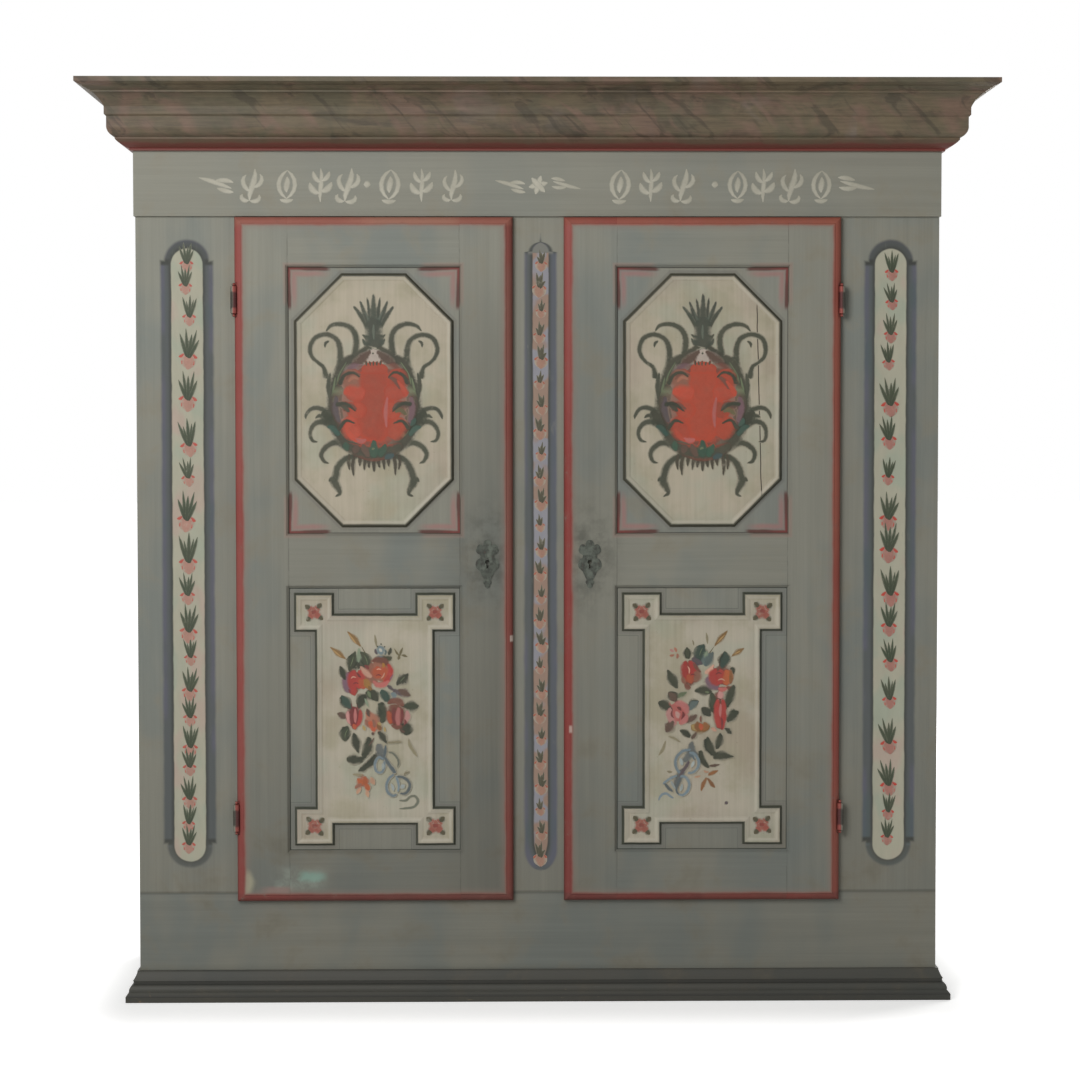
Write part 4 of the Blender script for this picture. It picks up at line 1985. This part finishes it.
@dataclass
class Carcase:
    """The plinth, the fixed front, the sides, back, shelves and rails, each with the way of its grain."""

    painted: tuple[tuple[str, Axis], ...] = (
        ("plinth_front", Axis.X), ("plinth_left", Axis.Y), ("plinth_right", Axis.Y),
        ("left_side_panel", Axis.Z), ("right_side_panel", Axis.Z))
    fronts: tuple[tuple[str, Strip], ...] = (
        ("left_corner_stile", Strip.SIDE), ("right_corner_stile", Strip.SIDE), ("center_post", Strip.CENTRE))
    bare: tuple[tuple[str, Axis], ...] = (
        ("partition", Axis.Z), ("back_boards", Axis.Z), ("floor_boards", Axis.X), ("floor_bearers", Axis.Y),
        ("top_rail", Axis.X), ("rear_top_rail", Axis.X), ("plinth_back", Axis.X),
        ("left_lower_shelf", Axis.X), ("left_upper_shelf", Axis.X),
        ("right_lower_shelf", Axis.X), ("right_upper_shelf", Axis.X))
    feet: tuple[tuple[str, Axis], ...] = (
        ("base_moulding_front", Axis.X), ("base_moulding_left", Axis.Y), ("base_moulding_right", Axis.Y))

    def dress(self) -> None:
        """Paints the outside and leaves the inside and back as bare pine."""
        for number, (node, grain) in enumerate(self.painted):
            dress(node, CaseBoard(grain, 1.0 + number).material())
        for number, (node, strip) in enumerate(self.fronts):
            dress(node, CaseBoard(Axis.Z, 7.0 + number, strip).material())
        for number, (node, grain) in enumerate(self.bare):
            tone = OLD_PINE if node in ("back_boards", "plinth_back") else PINE
            dress(node, BarePine(grain, 30.0 + number, tone, 0.7).material())
        for number, (node, grain) in enumerate(self.feet):
            dress(node, FootPaint(grain, 45.0 + number).material())


@dataclass
class Garland:
    """A hanging chain of small sprigs painted down a strip: dark upright leaves over a coral flower.

    Sprigs are each a height, a size and a place aside; tips are the leaf ends of three kinds of sprig.
    """

    name: str
    middle: float
    sprigs: tuple[Place, ...]
    seed: int
    surface: float = -186.15
    leaf: Colour = Colour(50, 58, 43)
    leaf_tip: Colour = Colour(70, 80, 60)
    coral: Colour = Colour(174, 76, 66)
    haze: Colour = Colour(176, 134, 119)
    fat: float = 1.0
    petals: Outline = ((-17.0, -7.0), (16.0, -8.0), (-11.0, -20.0), (10.0, -21.0), (0.0, -25.0))
    tips: tuple[Outline, ...] = (
        ((-17.0, 33.0), (-7.0, 43.0), (4.0, 33.0), (12.0, 41.0), (17.0, 24.0)),
        ((-16.0, 40.0), (-7.0, 31.0), (2.0, 45.0), (10.0, 34.0), (17.0, 37.0)),
        ((-19.0, 27.0), (-12.0, 43.0), (-2.0, 35.0), (8.0, 43.0), (14.0, 27.0)))

    def flower(self, made: Recipe) -> list[bpy.types.NodeSocket]:
        """The petals of one flower, hanging under the place of the sprig in a pale haze."""
        petal = made.number("Petal width", 13.5 * self.fat)
        blur = made.number("Haze width", 46.0 * self.fat)
        cloud = ((0.0, 4.0), (-1.0, -6.0), (1.0, -18.0), (0.0, -29.0))
        parts = [made.lick(cloud, blur, self.haze, self.haze)]
        for number, (x, y) in enumerate(self.petals):
            route = ((x * 0.1, -2.0), (x * 0.5, y * 0.3 - 3.0), (x * 0.9, y * 0.6 - 3.0), (x, y))
            parts.append(made.lick(route, petal, self.coral, self.coral.scaled(1.08), 0.55,
                                   lift=0.05 + number * 0.02, over=self.haze))
        heart = ((0.0, 0.0), (-1.0, -5.0), (1.0, -10.0), (0.0, -14.0))
        parts.append(made.lick(heart, petal, self.coral.scaled(0.72), self.coral, lift=0.2, over=self.coral))
        return parts

    def recipe(self) -> Recipe:
        """The tree that sets a sprig on each place of the chain."""
        made = Recipe(self.name, self.seed)
        flower = self.flower(made)
        broad = made.number("Leaf width", 12.5 * self.fat)
        thin = made.number("Thin leaf width", 10.0 * self.fat)
        body = made.number("Body width", 21.0 * self.fat)
        stalk = ((0.0, -9.0), (1.0, -2.0), (-1.0, 8.0), (0.0, 22.0))
        kinds = []
        for tips in self.tips:
            parts = [made.lick(stalk, body, self.leaf.scaled(1.12), self.leaf_tip, 0.45, lift=0.22)]
            for number, (x, y) in enumerate(tips):
                route = ((x * 0.15, -9.0), (x * 0.3, 5.0), (x * 0.7, y * 0.5), (x, y))
                parts.append(made.lick(route, thin if number % 2 else broad, self.leaf, self.leaf_tip, 0.42,
                                       lift=0.26 + number * 0.02, over=self.leaf_tip))
            kinds.append(made.gather(flower + parts))
        made.scatter(kinds, BrushPaint(self.name, 0.85, 0.06).material(), FACING_FRONT)
        return made

    def build(self) -> bpy.types.Object:
        """Makes the chain, each sprig at its own height and size."""
        luck = random.Random(self.seed)
        spots = []
        for number, (height, size, aside) in enumerate(self.sprigs):
            place = (self.middle + aside, self.surface, height)
            kind = (number * 2 + self.seed) % len(self.tips)
            spots.append(Spot(place, kind, size, luck.uniform(-0.1, 0.1)))
        return keep(self.recipe().run(spots), "case")


def even_chain(first: float, last: float, count: int, size: float) -> tuple[Place, ...]:
    """Evenly spaced sprigs of about one size, from the top down, each a little to the left or right."""
    return tuple((first + (last - first) * index / (count - 1), size * (1.0 + 0.15 * math.sin(index * 2.1)),
                  1.5 * (-1) ** index) for index in range(count))


def side_garlands() -> list[Garland]:
    """The garlands of the two corner stiles."""
    return [Garland("left_strip_garland", -712.0, LEFT_CHAIN, 3),
            Garland("right_strip_garland", 714.5, RIGHT_CHAIN, 4, coral=Colour(184, 66, 56),
                    haze=Colour(172, 122, 110))]


def centre_garland() -> Garland:
    """The finer, browner garland of the centre post."""
    tips = (((-11.0, 16.0), (0.0, 32.0), (10.0, 20.0)), ((-10.0, 27.0), (4.0, 30.0), (12.0, 10.0)),
            ((-12.0, 12.0), (-5.0, 31.0), (9.0, 25.0)))
    return Garland("centre_strip_garland", 4.6, even_chain(1508.0, 298.0, 26, 0.74), 5, tips=tips, fat=1.12,
                   leaf=Colour(62, 62, 48), leaf_tip=Colour(84, 80, 64), coral=Colour(164, 88, 70),
                   haze=Colour(166, 128, 110))


SPRIG, BUD, FERN, DOT, STAR, SPRAY = range(6)


@dataclass
class Crown:
    """The frieze, the marbled cornice, its blocks and the roof.

    Each touch of a frieze ornament is the brush, start, two handles and end in millimetres, and its lift.
    Each single ornament is its place across, its height above the row, its kind, its size and its lean.
    """

    mouldings: tuple[tuple[str, Place, float, Axis], ...] = (
        ("cornice_front", (0.0, -0.75, 0.0), 50.0, Axis.X),
        ("cornice_left", (0.75, 0.0, 0.0), 53.0, Axis.Y),
        ("cornice_right", (-0.75, 0.0, 0.0), 56.0, Axis.Y))
    surface: float = -192.15
    middle: float = 1661.0
    corner: float = 817.4
    cream: Colour = Colour(188, 184, 168)
    faint: Colour = Colour(172, 168, 152)
    row: tuple[tuple[float, int], ...] = (
        (-578.0, SPRIG), (-508.0, BUD), (-440.0, FERN), (-384.0, SPRIG), (-346.0, DOT), (-300.0, BUD),
        (-236.0, FERN), (-172.0, SPRIG), (166.0, BUD), (228.0, FERN), (294.0, SPRIG), (358.0, DOT),
        (404.0, BUD), (456.0, FERN), (514.0, SPRIG), (574.0, BUD))
    singles: tuple[tuple[float, float, int, float, float], ...] = (
        (-648.0, 3.0, SPRAY, 1.2, 0.1), (642.0, 0.0, SPRAY, 1.2, math.pi), (0.0, 0.0, STAR, 1.8, 0.0),
        (-54.0, 0.0, SPRAY, 1.0, 0.05), (54.0, 0.0, SPRAY, 1.0, math.pi + 0.05))
    sprig: str = """
        wide -3 -27 -6 -8 8 4 3 27 0
        fine -2 -12 -15 -6 -21 8 -11 16 0.05
        fine 1 -4 15 -2 20 12 12 19 0.08
        fine -4 -27 -14 -30 -20 -22 -15 -17 0.05
        fine -2 -27 8 -30 17 -24 13 -16 0.05"""
    bud: str = """
        fine 0 -24 -19 -12 -19 12 0 25 0
        fine 0 -24 19 -12 19 12 0 25 0.05
        wide 0 -13 -3 -4 3 4 0 14 0.08
        fine -11 -26 -4 -29 4 -29 12 -25 0.05"""
    fern: str = """
        fine 2 -28 -2 -10 4 10 -2 27 0
        wide 0 -14 -12 -14 -16 -6 -18 2 0.05
        wide 1 -10 12 -10 16 -2 18 6 0.05
        fine 0 4 -8 6 -12 12 -14 21 0.08
        fine 1 7 8 9 12 15 13 23 0.08"""
    spray: str = """
        fine 24 -6 10 -3 -2 2 -32 6 0
        fine 26 4 14 8 4 6 -6 2 0.05
        fine 28 -12 16 -12 8 -10 0 -8 0.05"""

    def dress(self) -> None:
        """Marbles the cornice, paints the frieze and leaves the rest bare."""
        for node, turn, shift, grain in self.mouldings:
            dress(node, MarbledPaint(turn, shift, grain).material())
        dress("frieze_front", CaseBoard(Axis.X, 60.0, Strip.NONE, 163.0, self.corner, 0.4).material())
        dress("frieze_left", CaseBoard(Axis.Y, 61.0, Strip.NONE, NO_FRONT, self.corner).material())
        dress("frieze_right", CaseBoard(Axis.Y, 62.0, Strip.NONE, NO_FRONT, self.corner).material())
        dress("frieze_back", BarePine(Axis.X, 63.0, OLD_PINE, 0.7).material())
        dress("cornice_blocks", BarePine(Axis.X, 64.0).material())
        dress("roof_boards", BarePine(Axis.X, 65.0, Colour(126, 106, 84), 0.9).material())

    def recipe(self) -> Recipe:
        """The tree that sets leaf sprigs, buds, dots, a star and end sprays along the frieze."""
        made = Recipe("frieze_ornament", 11, Colour(138, 138, 126))
        brushes = {"wide": made.number("Leaf width", 19.0), "fine": made.number("Fine width", 14.5)}

        def shape(touches: str) -> list[bpy.types.NodeSocket]:
            """The touches of one ornament."""
            parts = []
            for line in touches.split("\n")[1:]:
                brush, *words = line.split()
                *route, lift = (float(word) for word in words)
                points = tuple(zip(route[0::2], route[1::2]))
                parts.append(made.lick(points, brushes[brush], self.cream, self.faint, lift=lift))
            return parts

        dab = ((-5.0, 0.0), (-2.0, 1.0), (2.0, 1.0), (5.0, 0.0))
        dot = made.lick(dab, brushes["wide"], self.cream, self.faint, steps=5)
        star = []
        for number, turn in enumerate((0.2, 1.25, 2.3)):
            points = tuple((far * math.cos(turn), far * math.sin(turn)) for far in (-11.0, -4.0, 4.0, 11.0))
            star.append(made.lick(points, brushes["fine"], self.cream, self.cream, lift=0.03 * number))
        parts = (shape(self.sprig), shape(self.bud), shape(self.fern), [dot], star, shape(self.spray))
        made.scatter([made.gather(part) for part in parts],
                     BrushPaint("frieze_ornament", 0.85, 0.05).material(), FACING_FRONT)
        return made

    def build(self) -> bpy.types.Object:
        """Makes the painted row along the frieze."""
        spots = [Spot((side, self.surface, self.middle), kind, 1.3 if kind == DOT else 1.18, 0.06)
                 for side, kind in self.row]
        spots += [Spot((side, self.surface, self.middle + above), kind, size, lean)
                  for side, above, kind, size, lean in self.singles]
        return keep(self.recipe().run(spots), "case")


@dataclass
class Door:
    """One door: painted frame, two panels with their ornament, and its lock and key plate."""

    hand: Hand
    field_face: float = -202.5
    boards: tuple[tuple[str, Axis], ...] = (
        ("hinge_stile", Axis.Z), ("lock_stile", Axis.Z), ("top_rail", Axis.X), ("lock_rail", Axis.X),
        ("bottom_rail", Axis.X))
    iron: tuple[tuple[str, float], ...] = (
        ("escutcheon", 0.5), ("hinge_leaves", 0.5), ("lock_case", 0.0), ("lock_bolt", 0.0),
        ("lock_spring", 0.0))

    def dress(self) -> None:
        """Paints the frame and panels and blackens the iron."""
        label, first = self.hand.door, 70.0 if self.hand is Hand.LEFT else 90.0
        upper = PanelPaint(Mirror.OCTAGON, first + 6.0, Colour(183, 173, 153))
        lower = PanelPaint(Mirror.EARED, first + 7.0, Colour(184, 176, 158))
        for number, (part, grain) in enumerate(self.boards):
            dress(f"{label}_{part}", DoorBoard(grain, first + number).material())
        dress(f"{label}_upper_panel", upper.material())
        dress(f"{label}_lower_panel", lower.material())
        dress(f"{label}_pegs", BarePine(Axis.Y, first + 8.0, Colour(128, 98, 68)).material())
        for number, (part, paint) in enumerate(self.iron):
            dress(f"{label}_{part}", OldIron(first + number, paint, part == "hinge_leaves").material())

    def build(self) -> list[bpy.types.Object]:
        """Paints the medallion, the bouquet and the corner flowers."""
        pieces = [self.medallion(), self.bouquet(), self.ear_flowers()]
        return [keep(piece, self.hand.door) for piece in pieces]

    def easel(self, opening: Opening, seed: int, shake: float = 0.0) -> Painter:
        """A painter at the middle of one of the panels."""
        centre = (self.hand.value * opening.across, self.field_face, opening.up)
        return Painter(centre, seed + self.hand.value, shake)

    def medallion(self) -> bpy.types.Object:
        """The leafy frame round a red field, under its plume."""
        painter = self.easel(UPPER, 21, shake=0.7)
        painter.lay_all(MEDALLION_HALF, sides=(1, -1))
        painter.lay_all(MEDALLION_MIDDLE)
        return painter.piece(f"{self.hand.door}_medallion")

    def bouquet(self) -> bpy.types.Object:
        """The tied bunch of roses, leaves and wheat."""
        painter = self.easel(LOWER, 31)
        painter.lay_all(LEFT_BOUQUET if self.hand is Hand.LEFT else RIGHT_BOUQUET)
        return painter.piece(f"{self.hand.door}_bouquet")

    def ear_flowers(self) -> bpy.types.Object:
        """The four-petalled flower in each ear of the lower panel."""
        made = Recipe(f"{self.hand.door}_ear_flowers", 5 + self.hand.value)
        petal = made.number("Petal width", 34.0)
        tip = made.number("Tip width", 24.0)
        red, brown = Colour(150, 72, 64), Colour(160, 96, 82)
        green, moss = Colour(62, 60, 44), Colour(84, 78, 56)
        parts = []
        for number in range(8):
            turn = number * math.pi / 4.0

            def along(*reach: float) -> Outline:
                """Points at these distances from the middle, in this petal's direction."""
                return tuple((far * math.cos(turn), far * math.sin(turn)) for far in reach)

            if number % 2:
                petal_route = along(-2.0, 6.0, 13.0, 21.0)
                parts.append(made.lick(petal_route, petal, red, brown, 0.45, lift=0.02 * number))
                parts.append(made.lick(along(11.0, 16.0, 20.0, 26.0), tip, green, moss, lift=0.16))
            else:
                parts.append(made.lick(along(0.0, 4.0, 8.0, 12.0), tip, brown, brown, lift=0.2))
        heart = ((-9.0, 0.0), (-3.0, 1.0), (3.0, 1.0), (9.0, 0.0))
        parts.append(made.lick(heart, tip, Colour(124, 60, 54), red, lift=0.24, steps=5))
        made.scatter([made.gather(parts)], BrushPaint(made.name).material(), FACING_FRONT)
        middle, face = self.hand.value * LOWER.across, self.field_face - 0.15
        aside, rise = 123.0, 218.25
        return made.run([Spot((middle + x * aside, face, LOWER.up + z * rise), 0, 0.95, 0.05 * x * z)
                         for x in (-1, 1) for z in (-1, 1)])


@dataclass
class Nails:
    """Forged nails: the heads that show on the back boards and round the lock cases."""

    name: str
    body: str
    spots: list[Spot]
    head: float = 4.2

    def build(self) -> bpy.types.Object:
        """Makes one head for each spot, hammered slightly uneven."""
        made = Recipe(self.name, 17)
        cone = {"Vertices": 8, "Side Segments": 2, "Radius Top": 1.0, "Depth": 1.5}
        cone["Radius Bottom"] = made.number("Head radius", self.head)
        rose = made.node("GeometryNodeMeshCone", cone).outputs["Mesh"]
        chance = {0: (-0.3, -0.3, -0.1), 1: (0.3, 0.3, 0.15), "Seed": 3}
        waver = made.node("FunctionNodeRandomValue", chance, data_type="FLOAT_VECTOR").outputs[0]
        dented = made.node("GeometryNodeSetPosition", {"Geometry": rose, "Offset": waver})
        made.scatter([dented.outputs[0]], OldIron(17.0, 0.0).material(), FACING_BACK)
        return keep(made.run(self.spots), self.body)


def back_nails() -> Nails:
    """The nails that hold the back boards to the rear rail, the shelves and the plinth."""
    luck = random.Random(8)
    rail, upper_shelf, lower_shelf, plinth = 1582.0, 1110.0, 670.0, 236.0
    boards, pitch, aside, back = 7, 229.0, 62.0, 294.4
    spots = []
    for row in (rail, upper_shelf, lower_shelf, plinth):
        for board in range(boards):
            for side in (-aside, aside):
                across = (board - boards // 2) * pitch + side + luck.uniform(-8, 8)
                place = (across, back, row + luck.uniform(-5, 5))
                spots.append(Spot(place, 0, luck.uniform(0.85, 1.15), luck.uniform(0, 3)))
    return Nails("back_board_nails", "case", spots)


def lock_nails(hand: Hand) -> Nails:
    """The four nails that hold a lock case to the back of its door."""
    spots = [Spot((hand.value * aside, -151.0, up), 0, 0.7, 0.3 * up)
             for up in (860.0, 936.0) for aside in (86.0, 141.0)]
    return Nails(f"{hand.door}_lock_nails", hand.door, spots, 4.6)


# ---------------------------------------------------------------- the studio


@dataclass(frozen=True)
class Studio:
    """A white sweep, one large soft lamp from the upper left, and the camera; places are in metres."""

    lens: float = 85.17
    sensor: float = 36.0
    eye: Place = (-0.072, -5.386, 1.151)
    swing: float = 0.83
    dip: float = 2.27
    tilt: float = 0.04
    white: tuple[float, float, float, float] = (1.0, 1.0, 1.0, 1.0)
    floor_grey: tuple[float, float, float, float] = (0.86, 0.86, 0.85, 1.0)
    reach: float = 40.0

    def camera(self) -> None:
        """Sets the camera square before the cupboard, just left of its middle."""
        data = bpy.data.cameras.new("camera")
        data.lens = self.lens
        data.sensor_width = self.sensor
        made = add_object("camera", data)
        made.location = self.eye
        made.rotation_mode = "XYZ"
        made.rotation_euler = tuple(math.radians(turn) for turn in (90.0 - self.dip, self.tilt, -self.swing))
        bpy.context.scene.camera = made

    @staticmethod
    def lamp(name: str, place: Place, aim: Place, size: float, power: float) -> None:
        """One square soft lamp.

        Args:
            name: its name.
            place: where it hangs.
            aim: what it points at.
            size: the length of its side.
            power: its strength in watts.
        """
        data = bpy.data.lights.new(name, "AREA")
        data.shape = "SQUARE"
        data.size = size
        data.energy = power
        made = add_object(name, data)
        made.location = place
        made.rotation_mode = "QUATERNION"
        made.rotation_quaternion = (Vector(aim) - Vector(place)).to_track_quat("-Z", "Y")

    def floor(self) -> None:
        """A plain white floor that keeps the cupboard's soft shadow, which fades out away from its foot."""
        mesh = bpy.data.meshes.new("floor")
        corners = [(x * self.reach, y * self.reach, 0.0) for x, y in ((-1, -1), (1, -1), (1, 1), (-1, 1))]
        mesh.from_pydata(corners, [], [(0, 1, 2, 3)])
        graph = Graph("white_floor", roughness=1.0, specular=0.0)
        before = (-213.0 - graph.y).most(0.0)
        beside = (graph.x.size() - 800.0).most(0.0) * 2.0
        far = (before * before + beside * beside).root()
        glow = Signal(graph, graph.seen()) * (far.ramp(60.0, 330.0, 0.43, 0.8) + far.ramp(330.0, 600.0) * 0.2)
        look = {"Base Color": self.floor_grey, "Emission Color": self.white, "Emission Strength": glow}
        for name, value in look.items():
            graph.feed(value, graph.shader.inputs[name])
        mesh.materials.append(graph.material)
        made = add_object("floor", mesh)

    def world(self, strength: float) -> None:
        """Soft light from all round, which the camera sees as white."""
        made = bpy.data.worlds.new("studio")
        made.use_nodes = True
        nodes = Nodes(made.node_tree)
        light = nodes.node("ShaderNodeBackground", {"Color": self.white, "Strength": strength})
        shown = nodes.node("ShaderNodeBackground", {"Color": self.white})
        mixed = nodes.node("ShaderNodeMixShader", {0: nodes.seen(), 1: light.outputs[0], 2: shown.outputs[0]})
        nodes.node("ShaderNodeOutputWorld", {"Surface": mixed.outputs[0]})
        bpy.context.scene.world = made

    def build(self) -> None:
        """Sets up the whole studio."""
        bpy.context.scene.view_settings.view_transform = "Standard"
        self.camera()
        self.floor()
        self.world(0.17)
        self.lamp("key", (-2.0, -3.9, 2.9), (0.0, -0.2, 1.0), 2.0, 126.0)
        self.lamp("back_fill", (3.2, 3.6, 2.3), (0.3, 0.0, 0.9), 2.6, 150.0)


def main() -> None:
    """Builds and dresses the whole cupboard and sets it in the studio."""
    logging.basicConfig(level=logging.INFO, format="%(name)s %(message)s")
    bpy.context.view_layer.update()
    Studio().build()
    Carcase().dress()
    crown = Crown()
    crown.dress()
    crown.build()
    dress("hinge_pintles", OldIron(120.0, 0.4, True).material())
    dress("bolt_keepers", OldIron(121.0, 0.0).material())
    for garland in (*side_garlands(), centre_garland()):
        garland.build()
    for hand in Hand:
        door = Door(hand)
        door.dress()
        door.build()
        lock_nails(hand).build()
    back_nails().build()


if __name__ == "__main__":
    main()
